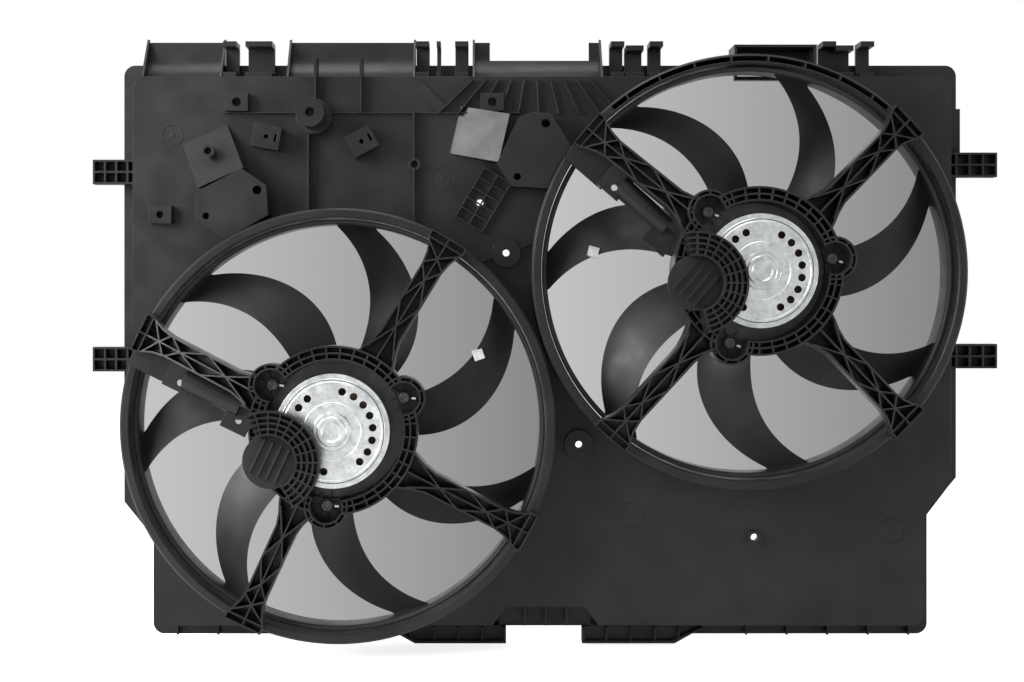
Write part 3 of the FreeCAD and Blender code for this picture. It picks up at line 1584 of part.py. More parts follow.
def raised_fittings():
    """All that stands on the panel's front, and the hollows behind its raised plates."""
    raised = [line_rib(name, "fitting_rib_height") for name in ("ledge", "disc_rib", "disc_rib_low")]
    raised += [line_rib(name, "upright_rib_height") for name in (
        "left_upright", "right_upright", "left_gusset", "right_gusset",
    )]
    slant = (spot("slanted_strip"), spot("slanted_strip", 1))
    raised.append(strip("slanted_strip", *slant, "slant_width", above("slant_height")))
    raised += sunburst() + strap()
    insides = []
    for plate, hollow in (
        outlined("left_plate", "plate_height"),
        outlined("right_plate", "plate_height"),
        ramp("ramp_left"),
        ramp("ramp_right"),
        clip_box("left_box", "-10"),
        clip_box("middle_box", "28"),
    ):
        raised.append(plate)
        insides.append(hollow)
    for name in ("upper_left_pad", "upper_middle_pad", "side_pad"):
        raised.append(bar(name, spot(name), "pad_length", "pad_width", "0", above("pad_height")))
    raised += [
        post("tall_post", spot("tall_post"), "post_radius", above("post_height")),
        post("post_collar", spot("tall_post"), "post_collar_radius", above("post_collar_height")),
        post("ramp_nub", spot("ramp_nub"), "nub_radius", above("plate_height")),
        post("strap_boss", spot("strap_boss"), "nub_radius", above("strap_height + 2")),
        post("upright_boss", spot("upright_boss"), "nub_radius", above("upright_rib_height + 1")),
        post("low_boss", spot("low_boss"), "nub_radius", above("disc_height")),
    ]
    raised += [post(name, spot(name), "disc_radius", above("disc_height")) for name in ("upper_disc", "lower_disc")]
    return raised, insides


def holes():
    """The blind screw and pin holes of the fittings."""
    deep = {
        "tall_post": ("post_hole_radius", "post_height"),
        "upper_left_pad": ("post_hole_radius", "pad_height"),
        "upper_middle_pad": ("post_hole_radius", "pad_height"),
        "side_pad": ("disc_hole_radius", "pad_height"),
        "left_box": ("box_wall", "box_height"),
        "middle_box": ("box_wall", "box_height"),
        "ramp_nub": ("disc_hole_radius", "plate_height"),
        "strap_boss": ("disc_hole_radius", "strap_height + 2"),
        "upright_boss": ("disc_hole_radius", "upright_rib_height + 1"),
        "upper_disc": ("disc_hole_radius", "disc_height"),
        "lower_disc": ("disc_hole_radius", "disc_height"),
        "low_boss": ("disc_hole_radius", "disc_height"),
        "left_plate_hole_one": ("disc_hole_radius", "plate_height"),
        "left_plate_hole_two": ("post_hole_radius", "plate_height"),
        "right_plate_hole_one": ("post_hole_radius", "plate_height"),
        "right_plate_hole_two": ("disc_hole_radius", "plate_height"),
    }
    return [
        post(f"{name}_hole", spot(name), radius, (f"{PANEL_FRONT} - {height} - 1", f"{PANEL_FRONT} - {height} + blind_hole_depth"))
        for name, (radius, height) in deep.items()
    ]


def tab(name, side, root, reach, z):
    """A ladder-shaped locating tab: two rows of cells on a web."""
    low, high = (reach, root) if side < 0 else (root, reach)
    bottom, top = f"{z} - tab_width / 2", f"{z} + tab_width / 2"
    front = "tab_back - tab_depth"
    solid = block(f"{name}_solid", (low, high), (front, "tab_back"), (bottom, top))
    cells = []
    step = f"(({high}) - ({low}) - tab_wall) / 4"
    for column in range(4):
        for row, (near, far) in enumerate(((bottom, z), (z, top))):
            cells.append(block(
                f"{name}_cell_{column}_{row}",
                (f"{low} + tab_wall + {column} * {step}", f"{low} + ({column} + 1) * {step}"),
                (f"{front} - 1", "tab_back - tab_wall"),
                (
                    f"{near} + {'tab_wall' if row == 0 else 'tab_wall / 2'}",
                    f"{far} - {'tab_wall' if row == 1 else 'tab_wall / 2'}",
                ),
            ))
    return cut(name, solid, fuse(f"{name}_cells", cells))


def tabs():
    left_root, right_root = "wall / 2 - plenum_half_width", "plenum_half_width - wall / 2"
    return [
        tab("tab_left_upper", -1, left_root, "-tab_reach", "tab_left_upper_z"),
        tab("tab_left_lower", -1, left_root, "-tab_reach", "tab_left_lower_z"),
        tab("tab_right_upper", 1, right_root, "tab_reach_right", "tab_right_upper_z"),
        tab("tab_right_lower", 1, right_root, "tab_reach_right", "tab_right_lower_z"),
    ]


def scoop(name, left, right, step=None):
    """A guide vane above the top wall: it curves up to a rear wall between two end walls."""
    floor = "plenum_top - wall"
    reach = "(scoop_back - scoop_front)"
    hollow_radius = f"{reach} - scoop_wall"
    tube = cut(
        f"{name}_tube",
        rod(f"{name}_tube_outer", (left, right), reach, "scoop_front", f"{floor} + {reach}"),
        rod(f"{name}_tube_inner", (f"{left} - 1", f"{right} + 1"), hollow_radius, "scoop_front", f"{floor} + {reach}"),
    )
    quarter = block(f"{name}_quarter", (left, right), ("scoop_front", "scoop_back"), (floor, f"{floor} + {reach}"))
    pieces = [
        block(f"{name}_back", (left, right), ("scoop_back - scoop_wall", "scoop_back"), (floor, "scoop_top")),
        block(f"{name}_floor", (left, right), ("scoop_front", "scoop_back"), (floor, "plenum_top")),
        common(f"{name}_curve", tube, quarter),
    ]
    for side, low in (("left", left), ("right", f"{right} - scoop_wall")):
        end = doc.addObject("Sketcher::SketchObject", f"{name}_end_{side}_outline")
        end.Placement = Placement(Vector(), Rotation(Vector(1, 1, 1), 120))
        bind(end, Placement__Base__x=low)
        draw(end, [
            ("scoop_back", floor),
            ("scoop_front", floor),
            ("scoop_back - scoop_wall", "scoop_top + 3"),
            ("scoop_back", "scoop_top + 3"),
        ])
        wall = doc.addObject("Part::Extrusion", f"{name}_end_{side}")
        wall.Base = end
        wall.DirMode = "Custom"
        wall.Dir = Vector(1, 0, 0)
        wall.Solid = True
        bind(wall, LengthFwd="scoop_wall")
        pieces.append(wall)
    if step is None:
        return pieces
    gap = block(
        f"{name}_gap",
        (f"{left} + scoop_step_left_leg", f"{right} - scoop_step_right_leg"),
        ("scoop_front - 1", "1"),
        (step, "scoop_top + 5"),
    )
    return [cut(f"{name}_stepped", fuse(f"{name}_blank", pieces), gap)]


def hook(name, width, top):
    """A clip hook: a rear post, a lip that reaches forward and a foot."""
    low, high = f"{name} - {width} / 2", f"{name} + {width} / 2"
    floor = "plenum_top - wall"
    return [
        block(f"{name}_post", (low, high), ("hook_back - hook_wall", "hook_back"), (floor, top)),
        block(f"{name}_lip", (low, high), ("hook_front", "hook_back"), (f"{top} - hook_lip", top)),
        block(f"{name}_foot", (low, high), ("hook_front", "hook_back"), (floor, "plenum_top + hook_foot_height")),
    ]


def hooks():
    """The clip hooks along the top, in sets of three."""
    pieces = []
    for number in ("one", "three", "five", "six", "eight", "nine", "eleven"):
        pieces += hook(f"hook_{number}", "hook_width", "hook_top")
    for number in ("seven", "ten"):
        pieces += hook(f"hook_{number}", "hook_middle_width", "hook_middle_top")
    pieces += hook("hook_two", "2 * hook_width", "hook_top")
    pieces += hook("hook_four", "hook_clip_width", "hook_top")
    return pieces


def cap():
    """The hollow hood behind the right ring, above the top wall."""
    y = ("scoop_front", "scoop_back")
    solid = block("cap_solid", ("cap_left", "cap_right"), y, ("plenum_top - wall", "cap_top"))
    room = block(
        "cap_room",
        ("cap_left + wall", "cap_right - wall"),
        ("scoop_front - 1", "scoop_back - wall"),
        ("plenum_top + 1", "cap_top - wall"),
    )
    return cut("cap", solid, room)


def panel():
    pieces = [plenum()] + tabs()
    pieces += scoop("scoop_one", "scoop_one_left", "scoop_one_right")
    pieces += scoop("scoop_two", "scoop_two_left", "scoop_two_right")
    pieces += scoop("scoop_three", "scoop_three_left", "scoop_three_right", "scoop_three_step")
    pieces += hooks() + horns() + rim_ribs() + [cap()]
    return fuse("panel", pieces)


# ---------------------------------------------------------------- assembly


keep("shroud_panel", panel())
keep_pair("motor_spider", spider())
closed_ring = ring()
open_ring = cut("ring_open", closed_ring, ring_mouth())
doc.recompute()
keep_placed("shroud_ring_left", closed_ring, *SIDES["left"], "0")
keep_placed("shroud_ring_right", open_ring, *SIDES["right"], "0")
keep_pair("motor_can", motor_can())
keep_pair("motor_cover", motor_cover())
keep_pair("motor_plate", motor_plate())
keep_pair("motor_screws", motor_screws())
keep_pair("motor_magnets", magnets())
keep_pair("brush_card", brush_card())
keep_pair("motor_brushes", brushes())
keep_pair("motor_bearings", bearings())
keep_pair("motor_connector", connector())
fan_blade = blade()
keep_pair("fan", fan(fan_blade), "fan_turn")
keep_pair("balance_clip", balance_clip(fan_blade), "clip_turn")
keep_pair("motor_shaft", shaft(), "fan_turn")
keep_pair("fan_nut", fan_nut(), "fan_turn")
keep_pair("armature_core", armature_core(), "fan_turn")
keep_pair("armature_windings", windings(), "fan_turn")
keep_pair("commutator", commutator(), "fan_turn")

doc.recompute()
for thing in doc.Objects:
    if "Invalid" in thing.State or "Error" in thing.State:
        raise RuntimeError(f"{thing.Label} did not build: {thing.State}")
os.makedirs("parts", exist_ok=True)
for thing in PARTS:
    if thing.Shape.isNull() or not thing.Shape.isValid():
        raise RuntimeError(f"{thing.Label} has no sound shape")
for thing in PARTS:
    thing.Shape.exportStep(f"parts/{thing.Label}.step")
    print(thing.Label, len(thing.Shape.Solids), round(thing.Shape.Volume))
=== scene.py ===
"""Looks of the twin-fan radiator shroud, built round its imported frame, in metres.

+X is right seen from the engine side, +Z up and +Y towards the radiator.
Nothing is at an angle of its own: every mesh holds its place in the frame.
"""
import json
import logging
import math
from dataclasses import dataclass, field
from enum import Enum, IntEnum

import bmesh
import bpy
import numpy as np
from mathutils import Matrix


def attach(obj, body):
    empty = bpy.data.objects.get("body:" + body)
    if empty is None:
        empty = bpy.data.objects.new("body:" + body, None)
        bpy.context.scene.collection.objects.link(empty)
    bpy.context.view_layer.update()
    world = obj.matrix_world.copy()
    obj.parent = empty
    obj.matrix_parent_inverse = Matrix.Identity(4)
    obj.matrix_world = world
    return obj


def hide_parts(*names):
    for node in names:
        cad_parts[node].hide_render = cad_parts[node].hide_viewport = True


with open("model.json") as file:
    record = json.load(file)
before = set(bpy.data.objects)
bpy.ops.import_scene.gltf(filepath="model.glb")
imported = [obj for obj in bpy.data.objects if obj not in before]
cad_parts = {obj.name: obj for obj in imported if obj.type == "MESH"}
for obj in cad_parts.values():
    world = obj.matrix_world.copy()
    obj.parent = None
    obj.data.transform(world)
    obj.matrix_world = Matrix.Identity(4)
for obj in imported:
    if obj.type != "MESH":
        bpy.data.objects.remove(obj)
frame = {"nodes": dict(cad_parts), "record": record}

log = logging.getLogger("shroud")
MM = 0.001
IMAGE_WIDTH = 1024
PANEL_Y = -40.5 * MM  # the panel's face on the engine side
AXIS_GAP = 0.05 * MM  # a disc starts this far from its axis, so that no face shrinks to nothing
SIDE_SHARE = 0.4  # the most of a side that the curve at each of its ends may take


# ---------------------------------------------------------------- meshes


class Steps(IntEnum):
    """Steps round the axis, by the piece they are for."""

    HOOP = 288
    HUB = 192
    GROOVE = 128
    COVER = 96
    MARK = 72
    SMALL = 48
    NUB = 36


def turn_matrix(degrees: float) -> np.ndarray:
    """Counter-clockwise turn seen from the engine side.

    Args:
        degrees: the angle of the turn.

    Returns:
        A 3 x 3 matrix that turns +X towards +Z.
    """
    c, s = math.cos(math.radians(degrees)), math.sin(math.radians(degrees))
    return np.array([[c, 0, -s], [0, 1, 0], [s, 0, c]])


def round_axis(radius: np.ndarray, angle: np.ndarray, y: np.ndarray) -> np.ndarray:
    """Points at a radius, an angle in radians and a depth: (r cos a, y, r sin a).

    Args:
        radius: distance from the motor axis.
        angle: angle from +X towards +Z.
        y: depth along the axis.

    Returns:
        An array with the points' coordinates last.
    """
    radius, angle, y = np.broadcast_arrays(radius, angle, y)
    return np.stack([radius * np.cos(angle), y, radius * np.sin(angle)], axis=-1)


def sheet_faces(rows: int, columns: int, wrap_rows: bool, wrap_columns: bool) -> np.ndarray:
    """Quads between neighbours of a grid: (i, j), (i+1, j), (i+1, j+1), (i, j+1).

    Args:
        rows: points along the first parameter.
        columns: points along the second parameter.
        wrap_rows: whether the last row joins the first.
        wrap_columns: whether the last column joins the first.

    Returns:
        An array of vertex numbers, four to a face.
    """
    i, j = np.meshgrid(
        np.arange(rows if wrap_rows else rows - 1),
        np.arange(columns if wrap_columns else columns - 1),
        indexing="ij",
    )
    after_i, after_j = (i + 1) % rows, (j + 1) % columns
    this_row, next_row = i * columns, after_i * columns
    corners = [this_row + j, next_row + j, next_row + after_j, this_row + after_j]
    return np.stack(corners, axis=-1).reshape(-1, 4)


@dataclass
class Shell:
    """Vertices and faces of a piece while it is put together."""

    points: list[np.ndarray] = field(default_factory=list)
    faces: list[list[int]] = field(default_factory=list)
    count: int = 0

    def sheet(
        self, grid: np.ndarray, wrap_rows: bool = False, wrap_columns: bool = False, caps: bool = False
    ) -> "Shell":
        """Adds one parametric surface given as a grid of points.

        Args:
            grid: points with shape (rows, columns, 3).
            wrap_rows: whether the last row joins the first.
            wrap_columns: whether the last column joins the first.
            caps: whether the first and last rows are closed by a face each.

        Returns:
            The shell itself.
        """
        rows, columns, _ = grid.shape
        faces = sheet_faces(rows, columns, wrap_rows, wrap_columns) + self.count
        self.faces += faces.tolist()
        if caps:
            ring = np.arange(columns) + self.count
            self.faces += [ring[::-1].tolist(), (ring + (rows - 1) * columns).tolist()]
        self.points.append(grid.reshape(-1, 3))
        self.count += rows * columns
        return self

    def copies(self, degrees: np.ndarray) -> "Shell":
        """Repeats the whole shell at each angle round the axis.

        Args:
            degrees: the angles, one copy each.

        Returns:
            A new shell with every copy.
        """
        points = np.concatenate(self.points)
        whole = Shell()
        for angle in degrees:
            whole.points.append(points @ turn_matrix(angle).T)
            whole.faces += [[corner + whole.count for corner in face] for face in self.faces]
            whole.count += self.count
        return whole

    def add(self, other: "Shell") -> "Shell":
        """Joins another shell to this one.

        Args:
            other: the shell to take in.

        Returns:
            The shell itself.
        """
        self.faces += [[corner + self.count for corner in face] for face in other.faces]
        self.points += other.points
        self.count += other.count
        return self

    def placed(self, turn: float, x: float, z: float) -> "Shell":
        """Turns the shell round its axis and moves it to its place.

        Args:
            turn: degrees round the axis.
            x: place of the axis to the right.
            z: place of the axis upwards.

        Returns:
            A new shell at that place.
        """
        points = np.concatenate(self.points) @ turn_matrix(turn).T + np.array([x, 0, z])
        return Shell([points], list(self.faces), self.count)

    def piece(self, name: str, crease: float = 35, closed: bool = True) -> bpy.types.Object:
        """Makes the object, its faces outwards and smooth but for sharp edges.

        Args:
            name: the object's name.
            crease: edges sharper than this many degrees stay sharp.
            closed: whether the faces close, so that outwards can be worked out.

        Returns:
            The new object, at the origin.
        """
        mesh = bpy.data.meshes.new(name)
        mesh.from_pydata(np.concatenate(self.points).tolist(), [], self.faces)
        edit = bmesh.new()
        edit.from_mesh(mesh)
        if closed:
            bmesh.ops.recalc_face_normals(edit, faces=edit.faces)
        edit.to_mesh(mesh)
        edit.free()
        mesh.shade_smooth()
        mesh.set_sharp_from_angle(angle=math.radians(crease))
        thing = bpy.data.objects.new(name, mesh)
        bpy.context.scene.collection.objects.link(thing)
        return thing


def lathe(profile: np.ndarray, steps: int = Steps.HUB) -> Shell:
    """Carries a closed outline of (radius, y) pairs round the axis.

    Args:
        profile: the outline, with shape (points, 2).
        steps: how many round the axis.

    Returns:
        A closed ring-shaped shell.
    """
    angle = np.linspace(0, 2 * np.pi, steps, endpoint=False)[:, None]
    return Shell().sheet(round_axis(profile[None, :, 0], angle, profile[None, :, 1]), True, True)


def softened(corners: list[tuple[float, float]], radius: float, steps: int = 4) -> np.ndarray:
    """A closed outline with each corner replaced by a curve.

    Each curve is the quadratic Bezier from one side to the next, with the
    corner as its middle point, starting a radius away or a share of the side.

    Args:
        corners: the outline's corners.
        radius: the reach of each curve along its two sides.
        steps: points on each curve.

    Returns:
        The softened outline, with shape (points, 2).
    """
    here = np.array(corners, float)
    before, after = np.roll(here, 1, axis=0), np.roll(here, -1, axis=0)

    def reach(other: np.ndarray) -> np.ndarray:
        """The point on the side towards another corner where the curve starts.

        Args:
            other: the corner at the far end of each side.

        Returns:
            One point for each corner.
        """
        way = other - here
        length = np.linalg.norm(way, axis=1, keepdims=True)
        return here + way / length * np.minimum(radius, SIDE_SHARE * length)

    t = np.linspace(0, 1, steps)[None, :, None]
    start, end = reach(before)[:, None], reach(after)[:, None]
    curve = (1 - t) ** 2 * start + 2 * t * (1 - t) * here[:, None] + t ** 2 * end
    return curve.reshape(-1, 2)


def disc(radius: float, front: float, back: float, softness: float, steps: int) -> Shell:
    """A flat round plate with softened edges, its outline carried round the axis.

    Args:
        radius: its outer radius.
        front: y of its front.
        back: y of its back.
        softness: reach of the curve at its edges.
        steps: how many round the axis.

    Returns:
        The closed shell.
    """
    corners = [(AXIS_GAP, front), (radius, front), (radius, back), (AXIS_GAP, back)]
    return lathe(softened(corners, softness), steps)


def slab(x: tuple[float, float], y: tuple[float, float], z: tuple[float, float]) -> Shell:
    """A plain block, as an outline in x and z carried along y.

    Args:
        x: its two ends in x.
        y: its two ends in y.
        z: its two ends in z.

    Returns:
        The closed shell.
    """
    outline = np.array([[x[0], z[0]], [x[1], z[0]], [x[1], z[1]], [x[0], z[1]]])
    grid = np.stack([np.insert(outline, 1, depth, axis=1) for depth in y])
    return Shell().sheet(grid, wrap_columns=True, caps=True)


# ---------------------------------------------------------------- finishes


Colour = tuple[float, float, float]


class Shader:
    """One node material while it is put together."""

    bevel_samples: int = 4

    def __init__(self, name: str) -> None:
        """Starts a material with its surface shader and its coordinates.

        Args:
            name: the material's name.
        """
        self.material = bpy.data.materials.new(name)
        self.material.use_nodes = True
        self.tree = self.material.node_tree
        self.surface = self.tree.nodes["Principled BSDF"]
        self.coordinates = self.add("ShaderNodeTexCoord").outputs["Object"]

    def add(self, kind: str, **settings: object) -> bpy.types.Node:
        """Adds a node and sets its properties.

        Args:
            kind: the node's type.
            settings: its properties by name.

        Returns:
            The new node.
        """
        node = self.tree.nodes.new(kind)
        for key, setting in settings.items():
            setattr(node, key, setting)
        return node

    def link(self, source: bpy.types.NodeSocket, target: bpy.types.NodeSocket) -> None:
        """Joins an output to an input."""
        self.tree.links.new(source, target)

    def noise(self, size: float, detail: float = 3, roughness: float = 0.5) -> bpy.types.NodeSocket:
        """Cloudy noise with patches of about the given size.

        Args:
            size: metres from one patch to the next.
            detail: octaves of finer noise.
            roughness: how much the octaves count.

        Returns:
            The noise value, from 0 to 1.
        """
        node = self.add("ShaderNodeTexNoise")
        node.inputs["Scale"].default_value = 1 / size
        node.inputs["Detail"].default_value = detail
        node.inputs["Roughness"].default_value = roughness
        self.link(self.coordinates, node.inputs["Vector"])
        return node.outputs[0]

    def cells(self, size: float) -> bpy.types.NodeSocket:
        """Crystal-like cells, each with a value of its own.

        Args:
            size: metres from one cell to the next.

        Returns:
            The cells' value, from 0 to 1.
        """
        node = self.add("ShaderNodeTexVoronoi")
        node.inputs["Scale"].default_value = 1 / size
        self.link(self.coordinates, node.inputs["Vector"])
        grey = self.add("ShaderNodeSeparateColor")
        self.link(node.outputs["Color"], grey.inputs[0])
        return grey.outputs[0]

    def span(
        self, source: bpy.types.NodeSocket, low: float, high: float, start: float = 0.35, end: float = 0.65
    ) -> bpy.types.NodeSocket:
        """Stretches a value to a range.

        Args:
            source: the value.
            low: result at the start.
            high: result at the end.
            start: where the range starts in the source.
            end: where it ends.

        Returns:
            The stretched value.
        """
        node = self.add("ShaderNodeMapRange")
        for name, number in (("From Min", start), ("From Max", end), ("To Min", low), ("To Max", high)):
            node.inputs[name].default_value = number
        self.link(source, node.inputs["Value"])
        return node.outputs["Result"]

    def tone(self, share: bpy.types.NodeSocket, dark: Colour, light: Colour) -> bpy.types.NodeSocket:
        """Blends two colours by a value.

        Args:
            share: 0 for the dark colour, 1 for the light one.
            dark: linear colour.
            light: linear colour.

        Returns:
            The blended colour.
        """
        node = self.add("ShaderNodeMix", data_type="RGBA")
        inputs = [socket for socket in node.inputs if socket.type == "RGBA"]
        inputs[0].default_value, inputs[1].default_value = (*dark, 1), (*light, 1)
        self.link(share, node.inputs["Factor"])
        return next(socket for socket in node.outputs if socket.type == "RGBA")

    def relief(self, height: bpy.types.NodeSocket, depth: float, edge: float = 0) -> None:
        """Gives the surface a fine relief and rounded edges.

        Args:
            height: the relief's height, from 0 to 1.
            depth: metres of relief.
            edge: radius of the edge rounding, or 0 for none.
        """
        bump = self.add("ShaderNodeBump")
        bump.inputs["Distance"].default_value = depth
        self.link(height, bump.inputs["Height"])
        if edge:
            rounded = self.add("ShaderNodeBevel", samples=self.bevel_samples)
            rounded.inputs["Radius"].default_value = edge
            self.link(rounded.outputs["Normal"], bump.inputs["Normal"])
        self.link(bump.outputs["Normal"], self.surface.inputs["Normal"])


@dataclass(frozen=True)
class MouldedPlastic:
    """Black moulded plastic: a fine spark grain, a cloudy bloom and softened edges."""

    slot: str
    colour: Colour = (0.007, 0.0072, 0.0076)
    bloom: Colour = (0.0115, 0.0117, 0.0124)
    gloss: tuple[float, float] = (0.3, 0.42)
    grain: float = 0.5 * MM
    edge: float = 0.7 * MM
    shine: float = 0.16
    bloom_noise: tuple[float, float, float] = (70 * MM, 5, 0.6)
    gloss_noise: tuple[float, float] = (24 * MM, 4)
    grain_octaves: float = 2
    grain_depth: float = 0.02 * MM

    def material(self) -> bpy.types.Material:
        """Makes the material: bloom in the colour, unevenness in the gloss, grain in the relief.

        Returns:
            The new material, named after the slot.
        """
        shader = Shader(self.slot)
        cloud = shader.span(shader.noise(*self.bloom_noise), 0, 1)
        shader.link(shader.tone(cloud, self.colour, self.bloom), shader.surface.inputs["Base Color"])
        gloss = shader.span(shader.noise(*self.gloss_noise), *self.gloss)
        shader.link(gloss, shader.surface.inputs["Roughness"])
        shader.surface.inputs["Specular IOR Level"].default_value = self.shine
        shader.relief(shader.noise(self.grain, self.grain_octaves), self.grain_depth, self.edge)
        return shader.material


@dataclass(frozen=True)
class SheetMetal:
    """Bare or plated metal: crystal cells blended with clouds in colour and gloss."""

    slot: str
    dark: Colour
    light: Colour
    gloss: tuple[float, float]
    cell: float = 3 * MM
    edge: float = 0.3 * MM
    metallic: float = 1
    cloud_cells: float = 4
    cloud_detail: tuple[float, float] = (4, 0.65)
    cell_share: float = 0.35
    cloud_share: float = 0.65
    grains_in_cell: float = 6
    grain_octaves: float = 3
    grain_depth: float = 0.01 * MM

    def material(self) -> bpy.types.Material:
        """Makes the material: cells times their share, plus clouds up to theirs.

        Returns:
            The new material, named after the slot.
        """
        shader = Shader(self.slot)
        cells = shader.cells(self.cell)
        cloud = shader.noise(self.cell * self.cloud_cells, *self.cloud_detail)
        mixed = shader.add("ShaderNodeMath", operation="MULTIPLY_ADD")
        shader.link(cells, mixed.inputs[0])
        mixed.inputs[1].default_value = self.cell_share
        shader.link(shader.span(cloud, 0, self.cloud_share), mixed.inputs[2])
        patch = mixed.outputs[0]
        shader.link(shader.tone(patch, self.dark, self.light), shader.surface.inputs["Base Color"])
        shader.link(shader.span(patch, *self.gloss, 0, 1), shader.surface.inputs["Roughness"])
        shader.surface.inputs["Metallic"].default_value = self.metallic
        grain = shader.noise(self.cell / self.grains_in_cell, self.grain_octaves)
        shader.relief(grain, self.grain_depth, self.edge)
        return shader.material


@dataclass(frozen=True)
class WoundCopper:
    """Enamelled wire: fine bands over a copper tone."""

    slot: str
    dark: Colour = (0.19, 0.06, 0.02)
    light: Colour = (0.55, 0.22, 0.09)
    band_scale: float = 900
    waver: float = 1.5
    metallic: float = 0.7
    roughness: float = 0.35
    depth: float = 0.2 * MM

    def material(self) -> bpy.types.Material:
        """Makes the material: a wave of wire turns in colour and relief.

        Returns:
            The new material, named after the slot.
        """
        shader = Shader(self.slot)
        wave = shader.add("ShaderNodeTexWave")
        wave.inputs["Scale"].default_value = self.band_scale
        wave.inputs["Distortion"].default_value = self.waver
        shader.link(shader.coordinates, wave.inputs["Vector"])
        bands = wave.outputs["Fac"]
        shader.link(shader.tone(bands, self.dark, self.light), shader.surface.inputs["Base Color"])
        shader.surface.inputs["Metallic"].default_value = self.metallic
        shader.surface.inputs["Roughness"].default_value = self.roughness
        shader.relief(bands, self.depth)
        return shader.material


FINISHES = [
    MouldedPlastic("shroud_plastic"),
    MouldedPlastic(
        "fan_plastic", (0.0105, 0.0108, 0.0113), (0.0165, 0.0168, 0.0175), (0.36, 0.48), 0.4 * MM, 0.5 * MM
    ),
    MouldedPlastic(
        "connector_plastic", (0.012, 0.012, 0.012), (0.02, 0.02, 0.02), (0.4, 0.5), 0.4 * MM, 0.3 * MM
    ),
    MouldedPlastic("card_plastic", (0.045, 0.028, 0.017), (0.07, 0.043, 0.026), (0.45, 0.6)),
    MouldedPlastic("carbon", (0.02, 0.02, 0.021), (0.04, 0.04, 0.042), (0.55, 0.7), 0.3 * MM, 0.2 * MM),
    MouldedPlastic("ferrite", (0.035, 0.034, 0.034), (0.06, 0.058, 0.058), (0.6, 0.75), 0.6 * MM, 0.4 * MM),
    SheetMetal("galvanised_steel", (0.38, 0.395, 0.4), (0.58, 0.595, 0.6), (0.3, 0.42), 2.2 * MM),
    SheetMetal("black_steel", (0.02, 0.02, 0.021), (0.045, 0.045, 0.047), (0.35, 0.5), 2 * MM, metallic=0.6),
    SheetMetal("screw_steel", (0.035, 0.035, 0.035), (0.075, 0.075, 0.075), (0.3, 0.42), 1.5 * MM),
    SheetMetal("clip_steel", (0.36, 0.355, 0.34), (0.56, 0.55, 0.53), (0.3, 0.42), 2 * MM, 0.15 * MM),
    SheetMetal("bearing_steel", (0.55, 0.56, 0.58), (0.75, 0.76, 0.78), (0.15, 0.25), 1.5 * MM),
    SheetMetal("core_steel", (0.2, 0.2, 0.21), (0.36, 0.36, 0.37), (0.35, 0.5), 1.2 * MM),
    WoundCopper("copper"),
]


class Wardrobe:
    """Every finish made once, by its slot in the record."""

    def __init__(self) -> None:
        """Makes the materials and reads which node has which slot."""
        self.materials = {finish.slot: finish.material() for finish in FINISHES}
        self.slot_of = {part["node"]: part["material_slot"] for part in frame["record"]["subparts"]}

    def dress(self, thing: bpy.types.Object, slot: str) -> None:
        """Gives a piece the finish of a slot, and only that one.

        Args:
            thing: the piece.
            slot: the slot's name in the record.
        """
        thing.data.materials.clear()
        thing.data.materials.append(self.materials[slot])


# ---------------------------------------------------------------- pieces kept from the frame


@dataclass
class KeptNode:
    """A rigid node shown as a merged copy of itself, smooth but for its sharp edges."""

    node: str
    body: str
    crease: float = 24
    merge: float = 0.002 * MM
    large_faces_weight: int = 100

    def show(self, wardrobe: Wardrobe) -> bpy.types.Object:
        """Copies, merges and dresses the node.

        Args:
            wardrobe: the finishes.

        Returns:
            The copy that stands for the node.
        """
        mesh = frame["nodes"][self.node].data.copy()
        if "custom_normal" in mesh.attributes:
            mesh.attributes.remove(mesh.attributes["custom_normal"])
        edit = bmesh.new()
        edit.from_mesh(mesh)
        bmesh.ops.remove_doubles(edit, verts=edit.verts, dist=self.merge)
        for face in edit.faces:
            face.smooth = True
        for edge in edit.edges:
            edge.smooth = edge.calc_face_angle(math.pi) < math.radians(self.crease)
        edit.to_mesh(mesh)
        edit.free()
        copy = bpy.data.objects.new(f"{self.node}_shown", mesh)
        bpy.context.scene.collection.objects.link(copy)
        weighted = copy.modifiers.new("even_shading", "WEIGHTED_NORMAL")
        weighted.keep_sharp = True
        weighted.weight = self.large_faces_weight
        wardrobe.dress(copy, wardrobe.slot_of[self.node])
        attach(copy, self.body)
        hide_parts(self.node)
        return copy


# ---------------------------------------------------------------- fans


class Side(Enum):
    """The two fan units, by where they are seen from the engine side."""

    LEFT = "left"
    RIGHT = "right"


@dataclass(frozen=True)
class FanPlace:
    """Where one fan unit's axis is and how its motor and its fan are turned, in degrees."""

    x: float
    z: float
    unit_turn: float
    fan_turn: float


PLACES = {
    Side.LEFT: FanPlace(-193 * MM, -68 * MM, 15, 109.6),
    Side.RIGHT: FanPlace(193 * MM, 76.5 * MM, 0, 101),
}


